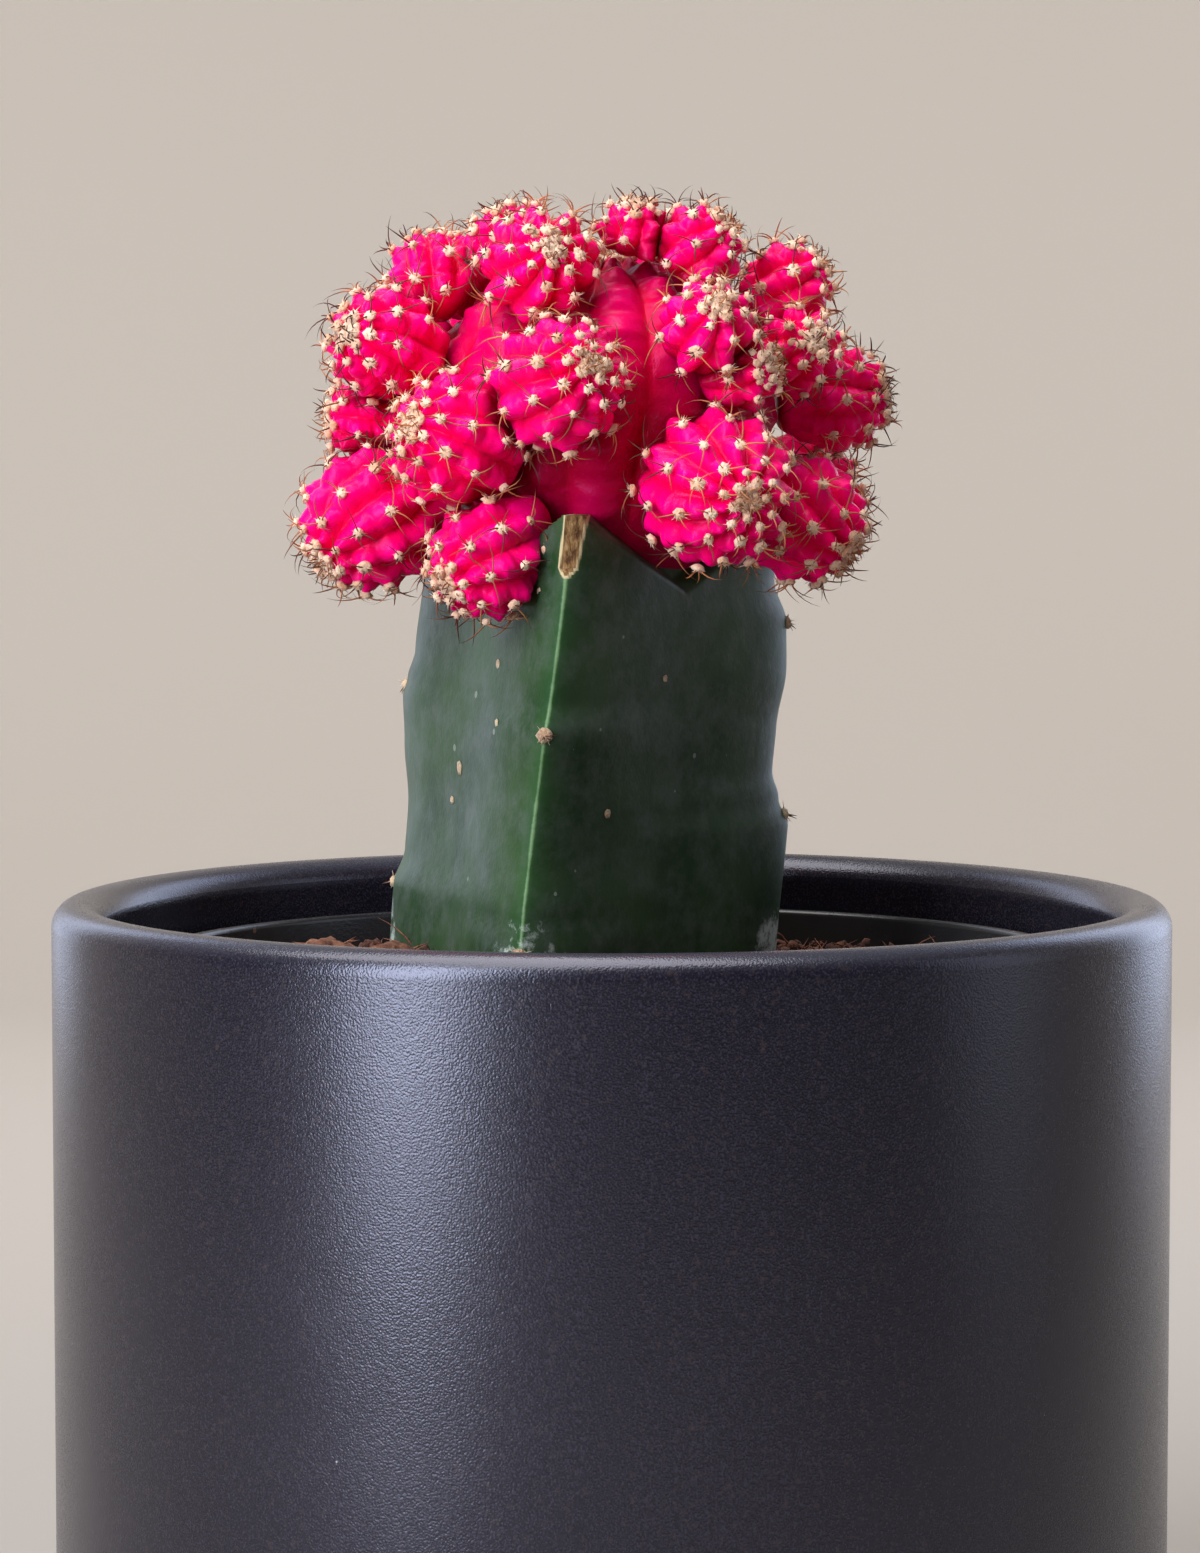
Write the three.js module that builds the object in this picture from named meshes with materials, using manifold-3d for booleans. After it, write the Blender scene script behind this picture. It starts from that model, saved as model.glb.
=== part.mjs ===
// A grafted moon cactus in its pot: a round, ribbed head crowded with pups, grown on the cut top of a
// three-winged green rootstock, rooted in coir mix in a plastic nursery pot, which stands in a plain
// cylindrical cachepot. Millimetres, +Z up, the origin at the middle of the cachepot's foot.
import * as THREE from "three";
import { mergeVertices } from "three/addons/utils/BufferGeometryUtils.js";
import Module from "manifold-3d";

const wasm = await Module();
wasm.setup();

// ---- Driving dimensions -------------------------------------------------------------------------

const GAP = 0.3; // left between pieces that touch
const ROUND_STEPS = 40; // flats around each pot

const POT_RADIUS = 60;
const POT_HEIGHT = 105;
const POT_WALL = 5.7;
const POT_FLOOR = 6;

const LINER_RADIUS = 50.8; // a standard 4 inch nursery pot, over its rim
const LINER_WALL = 1.3;
const LINER_TOP = POT_HEIGHT - 5.8;
const LINER_FOOT_RADIUS = 37;

const SOIL_EDGE_Z = LINER_TOP - 4.4;
const SOIL_MOUND = 3.4; // rise of the mix from the liner's wall to the stem

const STEM_FOOT_Z = 40;
const STEM_TOP_Z = POT_HEIGHT + 41.3;
const STEM_RADIUS = 24.1; // axis to the edge of a wing
const STEM_TURN_DEG = -8.4; // azimuth of the front wing
const STEM_AXIS_X = -5; // at the height of the cachepot's rim
const STEM_LEAN = 0.075; // towards +X, per unit of rise

const MOTHER_Z = POT_HEIGHT + 53;
const MOTHER_X = -1;
const MOTHER_RADIUS = 18.5;
const MOTHER_FLATNESS = 0.86; // its height over its width
const MOTHER_SKIRT = 5; // how far its flesh has grown down over the edges of the cut

// One row a pup. The first pair says where it sits on the mother head: azimuth (0 is the front, 90 is
// +X) and tilt above the horizontal. Then the distance between the two middles, and the pup's radius.
// The last pair is the azimuth and tilt that its growing point faces.
const PUPS = [
  [-74, -26, 28.1, 7.5, -62, -40],
  [-32, -36, 27.8, 6.0, -52, -28],
  [-41, -10, 22.8, 7.0, -50, 14],
  [-12, 4, 22.3, 6.7, 36, 20],
  [32, -22, 23.6, 8.0, 26, -10],
  [31, 19.5, 22.2, 4.9, 14, 34],
  [51, 51, 20.2, 4.8, 66, 42],
  [-27, 44, 19.9, 6.2, 14, 20],
  [-84, 36, 22.6, 4.7, -150, 60],
  [-71, 14, 25.0, 5.8, -40, 12],
  [-82, -4, 25.4, 4.3, -84, 0],
  [95, 1, 25.2, 5.6, 84, 8],
  [73, -29, 25.2, 6.7, 70, -32],
  [87, 32, 23.3, 4.6, 84, 36],
  [42, 8, 21.2, 4.2, 62, 14],
  [69, 14, 22.9, 4.3, 22, 14],
  [26, 65, 18.8, 4.1, 20, 74],
  [-68, 58, 19.8, 4.1, -100, 72],
  [118, -22, 26.2, 6.6, 118, -26],
  [152, -28, 26.0, 6.8, 150, -30],
  [-166, -24, 26.0, 7.2, -168, -22],
  [-124, -22, 26.6, 6.8, -118, -28],
  [128, 16, 24.0, 6.2, 126, 18],
  [165, 8, 23.6, 6.4, 168, 14],
  [-146, 10, 24.4, 6.6, -142, 14],
  [-112, 16, 24.4, 5.4, -112, 24],
  [146, 42, 21.2, 5.4, 140, 50],
  [-164, 36, 21.4, 5.6, -160, 46],
  [-120, 40, 21.2, 4.8, -116, 52],
  [102, 60, 18.6, 4.2, 96, 70],
];

// ---- Small helpers ------------------------------------------------------------------------------

const radians = THREE.MathUtils.degToRad;

// Turns an azimuth (0 towards -Y, 90 towards +X) and a tilt above the horizontal into a unit vector.
function heading(azimuthDeg, tiltDeg) {
  const a = radians(azimuthDeg);
  const t = radians(tiltDeg);
  return new THREE.Vector3(Math.sin(a) * Math.cos(t), -Math.cos(a) * Math.cos(t), Math.sin(t));
}

// Points along an arc in a turned profile, from one angle to another in degrees.
function arc(r, z, radius, fromDeg, toDeg, steps) {
  return Array.from({ length: steps + 1 }, (_, i) => {
    const a = radians(THREE.MathUtils.lerp(fromDeg, toDeg, i / steps));
    return new THREE.Vector2(r + radius * Math.cos(a), z + radius * Math.sin(a));
  });
}

// Spins a profile of (radius, height) points about Z.
function turned(profile, steps = ROUND_STEPS) {
  return new THREE.LatheGeometry(profile, steps).rotateX(Math.PI / 2);
}

// Moves each vertex of a geometry to where the function puts it.
function moved(geometry, place) {
  const position = geometry.getAttribute("position");
  const v = new THREE.Vector3();
  for (let i = 0; i < position.count; i++) {
    place(v.fromBufferAttribute(position, i));
    position.setXYZ(i, v.x, v.y, v.z);
  }
  return geometry;
}

// A closed geometry as a manifold-3d solid, and back.
function solidOf(geometry) {
  const bare = new THREE.BufferGeometry()
    .setAttribute("position", geometry.getAttribute("position"))
    .setIndex(geometry.getIndex());
  const merged = mergeVertices(bare, 1e-3);
  return new wasm.Manifold(
    new wasm.Mesh({
      numProp: 3,
      vertProperties: merged.getAttribute("position").array,
      triVerts: new Uint32Array(merged.getIndex().array),
    }),
  );
}

function geometryOf(solid) {
  const mesh = solid.getMesh();
  return new THREE.BufferGeometry()
    .setAttribute("position", new THREE.BufferAttribute(mesh.vertProperties, 3))
    .setIndex(new THREE.BufferAttribute(mesh.triVerts, 1));
}

function piece(name, geometry, material) {
  const mesh = new THREE.Mesh(geometry, material);
  mesh.name = name;
  return mesh;
}

// ---- Materials ----------------------------------------------------------------------------------

const glaze = new THREE.MeshStandardMaterial({ color: 0x3c3a42, roughness: 0.42, metalness: 0 });
const plastic = new THREE.MeshStandardMaterial({ color: 0x1c1c1e, roughness: 0.38, metalness: 0 });
const coir = new THREE.MeshStandardMaterial({ color: 0x4a2a1c, roughness: 0.95, metalness: 0 });
const husk = new THREE.MeshStandardMaterial({ color: 0x8a4f30, roughness: 0.9, metalness: 0 });
const stemSkin = new THREE.MeshStandardMaterial({ color: 0x2c4a32, roughness: 0.45, metalness: 0 });
const flesh = new THREE.MeshStandardMaterial({ color: 0xe8005c, roughness: 0.35, metalness: 0 });

// ---- Cachepot -----------------------------------------------------------------------------------

// A straight cylinder with a full round lip and a shallow hollow under its foot.
function cachepot() {
  const lipOuter = 2.6;
  const lipInner = POT_WALL - lipOuter;
  const footRound = 3;
  const hollowRadius = 46;
  const hollowDepth = 1.5;
  const corner = 6;
  const inner = POT_RADIUS - POT_WALL;
  const profile = [
    new THREE.Vector2(0, hollowDepth),
    new THREE.Vector2(hollowRadius - hollowDepth, hollowDepth),
    new THREE.Vector2(hollowRadius, 0),
    ...arc(POT_RADIUS - footRound, footRound, footRound, -90, 0, 2),
    ...arc(POT_RADIUS - lipOuter, POT_HEIGHT - lipOuter, lipOuter, 0, 90, 3),
    ...arc(inner + lipInner, POT_HEIGHT - lipInner, lipInner, 90, 180, 3).slice(1),
    ...arc(inner - corner, POT_FLOOR + corner, corner, 0, -90, 3),
    new THREE.Vector2(0, POT_FLOOR),
  ];
  return piece("cachepot", turned(profile), glaze);
}

// ---- Nursery pot --------------------------------------------------------------------------------

const LINER_FOOT_Z = POT_FLOOR + GAP;
const LINER_FLOOR_Z = LINER_FOOT_Z + 3; // top of its raised floor
const COLLAR = 13; // height of the straight band below the rim
const COLLAR_STEP = 2.2; // how far the collar stands out from the tapered wall

// A thin tapered pot with a straight collar, a raised floor on a notched foot ring, and drain slots.
function nurseryPot() {
  const rim = LINER_WALL / 2;
  const wallTop = LINER_RADIUS - COLLAR_STEP;
  const stepZ = LINER_TOP - COLLAR;
  const footRing = 4;
  const profile = [
    new THREE.Vector2(0, LINER_FLOOR_Z - LINER_WALL),
    new THREE.Vector2(LINER_FOOT_RADIUS - footRing, LINER_FLOOR_Z - LINER_WALL),
    new THREE.Vector2(LINER_FOOT_RADIUS - footRing, LINER_FOOT_Z),
    new THREE.Vector2(LINER_FOOT_RADIUS, LINER_FOOT_Z),
    new THREE.Vector2(wallTop, stepZ),
    new THREE.Vector2(LINER_RADIUS, stepZ + 1.2),
    ...arc(LINER_RADIUS - rim, LINER_TOP - rim, rim, 0, 180, 3),
    new THREE.Vector2(LINER_RADIUS - LINER_WALL, stepZ + 2),
    new THREE.Vector2(wallTop - LINER_WALL, stepZ),
    new THREE.Vector2(LINER_FOOT_RADIUS - LINER_WALL, LINER_FLOOR_Z),
    new THREE.Vector2(0, LINER_FLOOR_Z),
  ];
  let pot = solidOf(turned(profile));
  const slotWidth = 3.4;
  const slotLength = 12;
  const slots = 6;
  const notchDepth = 1.2;
  for (let i = 0; i < slots; i++) {
    const turn = (i * 2 * Math.PI) / slots + 0.3;
    const slot = new THREE.BoxGeometry(slotLength, slotWidth, 4 * LINER_WALL);
    slot.translate(LINER_FOOT_RADIUS - footRing - slotLength, 0, LINER_FLOOR_Z - LINER_WALL / 2);
    const notch = new THREE.BoxGeometry(3 * footRing, slotWidth, 2 * notchDepth);
    notch.translate(LINER_FOOT_RADIUS - footRing / 2, 0, LINER_FOOT_Z);
    pot = pot.subtract(solidOf(slot.rotateZ(turn))).subtract(solidOf(notch.rotateZ(turn)));
  }
  return piece("nursery_pot", geometryOf(pot), plastic);
}

// ---- Rootstock ----------------------------------------------------------------------------------

const WINGS = 3;
const WING_STEP = (2 * Math.PI) / WINGS;
const WING_POINT = 0.72; // a flank drops this much per unit off to the side, right at the wing's edge
const WING_CURVE = 0.075; // and steepens away from the edge, down to the hollow between two wings
const WING_BLUNTNESS = 0.3; // the very edge is rounded over this much
const VALLEY_ROUNDNESS = 0.12; // radians: the hollow is rounded over this turn
const AREOLE_SPACING = 22;
const WING_SWELL = 0.9; // how far a wing bulges at each areole
const FOOT_TAPER = 0.45; // the stem's width at its foot, over its full width
const FOOT_TAPER_LENGTH = 26;
const CORE_RADIUS = 11; // the stem inside the wings, which the paring leaves whole
const BLADE_HALF = 1.1; // half the thickness that the paring leaves of a wing at the top of the stem
const BLADE_SPREAD = 1.2; // how much it thickens per unit of drop
const ROOTS = 5;
const ROOT_RADIUS = 1.5;
const ROOT_STEP = 2.4; // radians from one root to the next
// The front, right and left wing: the height of one areole over the cachepot's rim, how far the pared
// edge stands from the axis at the top of the stem, and how much further out it is per unit of drop.
const WING_SHAPES = [
  [18.8, 23.2, 0.12],
  [29.2, 17.2, 1],
  [22.2, 17.2, 1],
];

// The stem leans a little to the right as it rises.
function stemAxisX(z) {
  return STEM_AXIS_X + STEM_LEAN * (z - POT_HEIGHT);
}

// Eases the turn away from a wing's edge, so that the two flanks meet in a rounded hollow.
function easedTurn(off) {
  const half = WING_STEP / 2;
  const most = Math.hypot(half, VALLEY_ROUNDNESS);
  return (half * (most - Math.hypot(half - Math.abs(off), VALLEY_ROUNDNESS))) / (most - VALLEY_ROUNDNESS);
}

// Distance from the stem's axis to its skin, at an azimuth counted from the front wing. Each wing is
// a pointed arch in section. Near the top it is pared along its edge and on both flanks.
function stemReach(turn, z) {
  const wing = Math.round(turn / WING_STEP);
  const [areole, topReach, slope] = WING_SHAPES[((wing % WINGS) + WINGS) % WINGS];
  const swell = Math.cos((2 * Math.PI * (z - POT_HEIGHT - areole)) / AREOLE_SPACING);
  const edge = STEM_RADIUS + WING_SWELL * swell;
  const off = turn - wing * WING_STEP;
  const rise = Math.tan(easedTurn(off));
  const lean = 1 + WING_POINT * rise;
  const side = (2 * rise * edge) / (lean + Math.hypot(lean, 2 * rise * Math.sqrt(WING_CURVE * edge)));
  const blunted = Math.hypot(side, WING_BLUNTNESS) - WING_BLUNTNESS;
  const full = Math.hypot(edge - WING_POINT * blunted - WING_CURVE * side ** 2, side);
  const grown = THREE.MathUtils.smoothstep(z, STEM_FOOT_Z, STEM_FOOT_Z + FOOT_TAPER_LENGTH);
  const drop = STEM_TOP_Z - z;
  const blade = (BLADE_HALF + BLADE_SPREAD * drop) / Math.max(Math.abs(Math.sin(off)), 1e-6);
  return Math.min(
    full * THREE.MathUtils.lerp(FOOT_TAPER, 1, grown),
    topReach + slope * drop,
    Math.max(blade, CORE_RADIUS),
  );
}

// The winged stem, swollen by the stated allowance.
function stem(allowance) {
  const around = 30;
  const rows = 20;
  const crowding = 0.26; // gathers the vertices towards the edges of the wings
  const height = STEM_TOP_Z - STEM_FOOT_Z;
  const blank = new THREE.CylinderGeometry(1, 1, height, around, rows).rotateX(Math.PI / 2);
  return moved(blank, (v) => {
    const z = STEM_FOOT_Z + height / 2 + v.z;
    const even = Math.atan2(v.x, -v.y);
    const turn = even - crowding * Math.sin(WINGS * even);
    const reach = Math.hypot(v.x, v.y) * (stemReach(turn, z) + allowance);
    const azimuth = turn + radians(STEM_TURN_DEG);
    const end = z < STEM_FOOT_Z + 0.1 ? -allowance : 0;
    v.set(stemAxisX(z) + reach * Math.sin(azimuth), -reach * Math.cos(azimuth), z + end);
  });
}

// One root: it leaves the stem's foot and curls outwards and down through the mix.
function root(index, allowance) {
  const azimuth = index * ROOT_STEP;
  const spread = 15 + 3 * (index % 3);
  const start = STEM_FOOT_Z + 4 + 2 * (index % 2);
  const inside = 3; // it starts this far off the stem's axis
  const swing = 0.5; // radians from one end to the other
  const fall = 21;
  const path = new THREE.CatmullRomCurve3(
    [0, 0.35, 0.7, 1].map((t) => {
      const out = inside + spread * t;
      const turn = azimuth + swing * t;
      return new THREE.Vector3(
        stemAxisX(start) + out * Math.sin(turn),
        -out * Math.cos(turn),
        start - fall * t * t - 2 * t,
      );
    }),
  );
  const radius = ROOT_RADIUS + allowance;
  const sides = 5;
  const section = new THREE.Shape(
    Array.from({ length: sides }, (_, k) => {
      const a = (k * 2 * Math.PI) / sides;
      return new THREE.Vector2(radius * Math.cos(a), radius * Math.sin(a));
    }),
  );
  return new THREE.ExtrudeGeometry(section, { steps: 4, extrudePath: path });
}

// Stem and roots are one grown piece.
function rootstockSolid(allowance) {
  let solid = solidOf(stem(allowance));
  for (let i = 0; i < ROOTS; i++) solid = solid.add(solidOf(root(i, allowance)));
  return solid;
}

// ---- Potting mix --------------------------------------------------------------------------------

const MOUND_TOP_RADIUS = 16;
const MOUND_FOOT_RADIUS = 40;

// Height of the mix's rough surface, mounded up to the stem.
function soilHeight(x, y) {
  const r = Math.hypot(x - stemAxisX(SOIL_EDGE_Z), y);
  const mound = SOIL_MOUND * (1 - THREE.MathUtils.smoothstep(r, MOUND_TOP_RADIUS, MOUND_FOOT_RADIUS));
  const lumps = 0.5 * Math.sin(0.31 * x + 1.7) * Math.cos(0.27 * y) + 0.35 * Math.sin(0.62 * y - 0.5 * x);
  return SOIL_EDGE_Z + mound + lumps;
}

// Husk chips lying half sunk in the mix: azimuth, distance from the pot's axis, and length.
const CHIPS = [
  [-80, 25, 8],
  [-38, 38, 6],
  [12, 41, 7],
  [48, 37, 6],
  [82, 34, 8],
  [118, 39, 7],
  [158, 30, 6],
  [-160, 41, 7],
  [-118, 36, 8],
];

function chip(index, allowance) {
  const [azimuth, out, length] = CHIPS[index];
  const blank = new THREE.IcosahedronGeometry(1, 1);
  const at = heading(azimuth, 0).multiplyScalar(out);
  const turn = 1.3 * index;
  const sunk = 0.4; // its middle is this far above the mix
  moved(blank, (v) => {
    const rough = 1 + 0.16 * Math.sin(7 * v.x + index) * Math.cos(6 * v.y + 2 * v.z);
    v.multiplyScalar(rough);
    v.set(
      v.x * (length / 2 + allowance),
      v.y * (length / 3.4 + allowance),
      v.z * (length / 4.4 + allowance),
    );
  });
  blank.rotateY(0.2 * Math.sin(index)).rotateZ(turn);
  return blank.translate(at.x, at.y, soilHeight(at.x, at.y) + sunk);
}

function pottingMix() {
  const clear = LINER_WALL + GAP;
  const stepZ = LINER_TOP - COLLAR;
  const edge = LINER_RADIUS - clear;
  const rings = 5;
  const profile = [
    new THREE.Vector2(0, LINER_FLOOR_Z + GAP),
    new THREE.Vector2(LINER_FOOT_RADIUS - clear, LINER_FLOOR_Z + GAP),
    new THREE.Vector2(LINER_RADIUS - COLLAR_STEP - clear, stepZ),
    new THREE.Vector2(edge, stepZ + 2 + GAP),
    ...Array.from({ length: rings + 1 }, (_, i) => new THREE.Vector2(edge * (1 - i / rings), SOIL_EDGE_Z)),
  ];
  const heap = moved(turned(profile), (v) => {
    if (v.z > SOIL_EDGE_Z - 0.01) v.z = soilHeight(v.x, v.y);
  });
  let solid = solidOf(heap).subtract(rootstockSolid(GAP));
  CHIPS.forEach((_, i) => {
    solid = solid.subtract(solidOf(chip(i, GAP)));
  });
  return piece("potting_mix", geometryOf(solid), coir);
}

// ---- The scion: mother head and pups ------------------------------------------------------------

const mother = {
  name: "mother_head",
  middle: new THREE.Vector3(MOTHER_X, 0, MOTHER_Z),
  radius: MOTHER_RADIUS,
  crown: new THREE.Vector3(0, 0, 1),
  flatness: MOTHER_FLATNESS,
  inward: new THREE.Vector3(0, 0, -1),
  neck: MOTHER_SKIRT,
  neckSharpness: 2,
  ribs: 11,
  rows: 12,
};

const MOTHER_MEAN_REACH = 0.92 * MOTHER_RADIUS;

const pups = PUPS.map(([seatAz, seatTilt, reach, radius, crownAz, crownTilt], i) => {
  const seat = heading(seatAz, seatTilt);
  return {
    name: `pup_${String(i + 1).padStart(2, "0")}`,
    middle: seat.clone().multiplyScalar(reach).add(mother.middle),
    radius,
    crown: heading(crownAz, crownTilt),
    flatness: 1,
    inward: seat.clone().negate(),
    neck: Math.max(0, reach - MOTHER_MEAN_REACH - radius),
    neckSharpness: 6,
    ribs: 7,
    rows: 8,
  };
});

const heads = [mother, ...pups];

// Distance from a head's middle to the plane where it meets another head, along the line between them.
function meetingDistance(head, other) {
  const apart = head.middle.distanceTo(other.middle);
  const share = (apart ** 2 + head.radius ** 2 - other.radius ** 2) / (2 * apart);
  return share - GAP / 2;
}

// A ribbed globe with its growing point facing its crown, drawn out towards the piece that it grows
// on, and pressed flat against its neighbours.
function headGeometry(head) {
  const around = 2 * head.ribs;
  const grooveDepth = 0.07; // of the head's radius
  const upright = new THREE.Quaternion().setFromUnitVectors(new THREE.Vector3(0, 0, 1), head.crown);
  const walls = heads
    .filter((other) => other !== head)
    .map((other) => ({
      normal: other.middle.clone().sub(head.middle).normalize(),
      distance: meetingDistance(head, other),
    }));
  const blank = new THREE.SphereGeometry(1, around, head.rows).rotateX(Math.PI / 2);
  return moved(blank, (v) => {
    const level = Math.hypot(v.x, v.y);
    const rib = 1 - grooveDepth * level * (1 - Math.cos(head.ribs * Math.atan2(v.y, v.x)));
    const flat = 1 / Math.hypot(level, v.z / head.flatness);
    v.applyQuaternion(upright);
    const towards = Math.max(0, v.dot(head.inward));
    let reach = head.radius * rib * flat + head.neck * towards ** head.neckSharpness;
    for (const wall of walls) {
      const facing = v.dot(wall.normal);
      if (facing > 0.05) reach = Math.min(reach, wall.distance / facing);
    }
    v.multiplyScalar(reach).add(head.middle);
  });
}

// The mother head sits down over the stem's pared top, and the lower pups hang beside it: each is
// hollowed where it would press into the stem.
const stemRoom = rootstockSolid(GAP);

function clearOfStem(geometry) {
  const solid = solidOf(geometry);
  const pressed = solid.intersect(stemRoom).volume() > 0;
  return pressed ? geometryOf(solid.subtract(stemRoom)) : geometry;
}

// ---- Assembly -----------------------------------------------------------------------------------

const plant = new THREE.Group();
plant.add(cachepot(), nurseryPot(), pottingMix());
plant.add(piece("rootstock", geometryOf(rootstockSolid(0)), stemSkin));
CHIPS.forEach((_, i) => plant.add(piece(`husk_chip_${i + 1}`, chip(i, 0), husk)));
heads.forEach((head) => plant.add(piece(head.name, clearOfStem(headGeometry(head)), flesh)));

export default plant;
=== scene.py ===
import math
import random

import bmesh
import bpy
from mathutils import Matrix, Quaternion, Vector, noise


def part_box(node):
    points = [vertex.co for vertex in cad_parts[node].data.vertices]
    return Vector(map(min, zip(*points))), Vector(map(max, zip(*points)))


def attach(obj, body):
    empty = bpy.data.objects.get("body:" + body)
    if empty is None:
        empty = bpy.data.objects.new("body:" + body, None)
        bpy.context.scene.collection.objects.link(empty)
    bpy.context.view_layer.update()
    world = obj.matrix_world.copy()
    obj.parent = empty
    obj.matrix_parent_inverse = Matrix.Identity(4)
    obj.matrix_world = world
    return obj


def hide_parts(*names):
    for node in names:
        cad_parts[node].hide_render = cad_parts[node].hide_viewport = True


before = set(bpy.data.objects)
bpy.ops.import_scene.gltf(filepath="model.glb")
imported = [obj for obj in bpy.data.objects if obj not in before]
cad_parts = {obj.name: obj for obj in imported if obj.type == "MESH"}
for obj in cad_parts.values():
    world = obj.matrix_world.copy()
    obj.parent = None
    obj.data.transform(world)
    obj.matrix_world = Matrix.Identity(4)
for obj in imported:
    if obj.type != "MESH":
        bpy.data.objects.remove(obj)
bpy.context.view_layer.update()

# ---- Camera -------------------------------------------------------------------------------------
# Half a metre in front of the cachepot, a little above its rim, looking slightly down at the plant.
# The lens is long, so the pot's sides stay almost parallel.

MM = 0.001
pot_low, pot_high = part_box("cachepot")
RIM_Z = pot_high[2]
POT_RADIUS = (pot_high[0] - pot_low[0]) / 2

EYE_SIDEWAYS = -1.25 * MM
EYE_AWAY = 497.7 * MM
EYE_ABOVE_RIM = 47.4 * MM
LOOK_DOWN = 3.96  # degrees

camera_data = bpy.data.cameras.new("camera")
camera_data.lens = 107.5
camera_data.sensor_width = 36
camera = bpy.data.objects.new("camera", camera_data)
camera.location = (EYE_SIDEWAYS, -EYE_AWAY, RIM_Z + EYE_ABOVE_RIM)
camera.rotation_euler = (math.radians(90 - LOOK_DOWN), 0, 0)
bpy.context.scene.collection.objects.link(camera)
bpy.context.scene.camera = camera
bpy.context.scene.view_settings.view_transform = "Standard"

# ---- Studio -------------------------------------------------------------------------------------
# A pale floor that curves up into a wall behind the plant, with soft boxes to the left, overhead and
# to the right. The wall is turned about the plant, and is open towards the camera.


def to_mesh(name, bm):
    mesh = bpy.data.meshes.new(name)
    bm.to_mesh(mesh)
    bm.free()
    return mesh


def keep(name, bm, materials, smooth=True):
    """Turns a finished bmesh into a named object with its materials."""
    mesh = to_mesh(name, bm)
    for material in materials:
        mesh.materials.append(material)
    mesh.polygons.foreach_set("use_smooth", [smooth] * len(mesh.polygons))
    piece = bpy.data.objects.new(name, mesh)
    bpy.context.scene.collection.objects.link(piece)
    return piece


def new_material(name, colour, roughness, **settings):
    """A Principled material with plain values, and its nodes, ready for patterns."""
    material = bpy.data.materials.new(name)
    material.use_nodes = True
    shader = material.node_tree.nodes["Principled BSDF"]
    shader.inputs["Base Color"].default_value = (*colour, 1)
    shader.inputs["Roughness"].default_value = roughness
    for socket, value in settings.items():
        shader.inputs[socket.replace("_", " ")].default_value = value
    return material, material.node_tree, shader


def spun(profile, steps):
    """A closed shell turned about Z from (radius, height) points that start and end on the axis."""
    bm = bmesh.new()
    points = [bm.verts.new((r, 0, z)) for r, z in profile]
    edges = [bm.edges.new(pair) for pair in zip(points, points[1:])]
    bmesh.ops.spin(
        bm, geom=points + edges, cent=(0, 0, 0), axis=(0, 0, 1),
        angle=2 * math.pi, steps=steps, use_merge=True,
    )
    bmesh.ops.remove_doubles(bm, verts=bm.verts, dist=0.001 * MM)
    bmesh.ops.recalc_face_normals(bm, faces=bm.faces)
    return bm


def arc(r, z, radius, start, end, steps):
    """Points of an arc in a turned profile, between two angles in degrees."""
    angles = [math.radians(start + (end - start) * i / steps) for i in range(steps + 1)]
    return [(r + radius * math.cos(a), z + radius * math.sin(a)) for a in angles]


paper, _, _ = new_material("studio_paper", (0.281, 0.251, 0.220), 0.9)

FLOOR_RADIUS = 1.15
COVE_RADIUS = 0.35
WALL_HEIGHT = 1.5
FLAT_END = FLOOR_RADIUS - COVE_RADIUS
FLAT_SEAM = 0.02  # a narrow last strip of the flat floor keeps its shading level up to the curve
sweep = [(0, 0), (FLAT_END - FLAT_SEAM, 0), (FLAT_END, 0)]
sweep += arc(FLAT_END, COVE_RADIUS, COVE_RADIUS, -90, 0, 12)[1:]
sweep += [(FLOOR_RADIUS, WALL_HEIGHT)]
cove = bmesh.new()
rail = [cove.verts.new((r, 0, z)) for r, z in sweep]
rail_edges = [cove.edges.new(pair) for pair in zip(rail, rail[1:])]
bmesh.ops.spin(cove, geom=rail + rail_edges, cent=(0, 0, 0), axis=(0, 0, 1), angle=math.pi, steps=48)
bmesh.ops.recalc_face_normals(cove, faces=cove.faces)
backdrop = keep("backdrop", cove, [paper])

front_floor = bmesh.new()
bmesh.ops.create_circle(front_floor, cap_ends=True, segments=96, radius=3.0)
bmesh.ops.translate(front_floor, verts=front_floor.verts, vec=(0, 0, -0.2 * MM))
keep("floor", front_floor, [paper])


def soft_box(name, azimuth, elevation, distance, size, power, colour, aim=(0, 0, RIM_Z)):
    """An area lamp at an azimuth round the plant (0 in front, 90 to the right), aimed at a point."""
    lamp = bpy.data.lights.new(name, "AREA")
    lamp.shape = "RECTANGLE"
    lamp.size, lamp.size_y = size
    lamp.energy = power
    lamp.color = colour
    box = bpy.data.objects.new(name, lamp)
    a, e = math.radians(azimuth), math.radians(elevation)
    away = Vector((math.sin(a) * math.cos(e), -math.cos(a) * math.cos(e), math.sin(e)))
    box.location = Vector((0, 0, RIM_Z)) + distance * away
    box.rotation_euler = (box.location - Vector(aim)).to_track_quat("Z", "Y").to_euler()
    bpy.context.scene.collection.objects.link(box)


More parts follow.
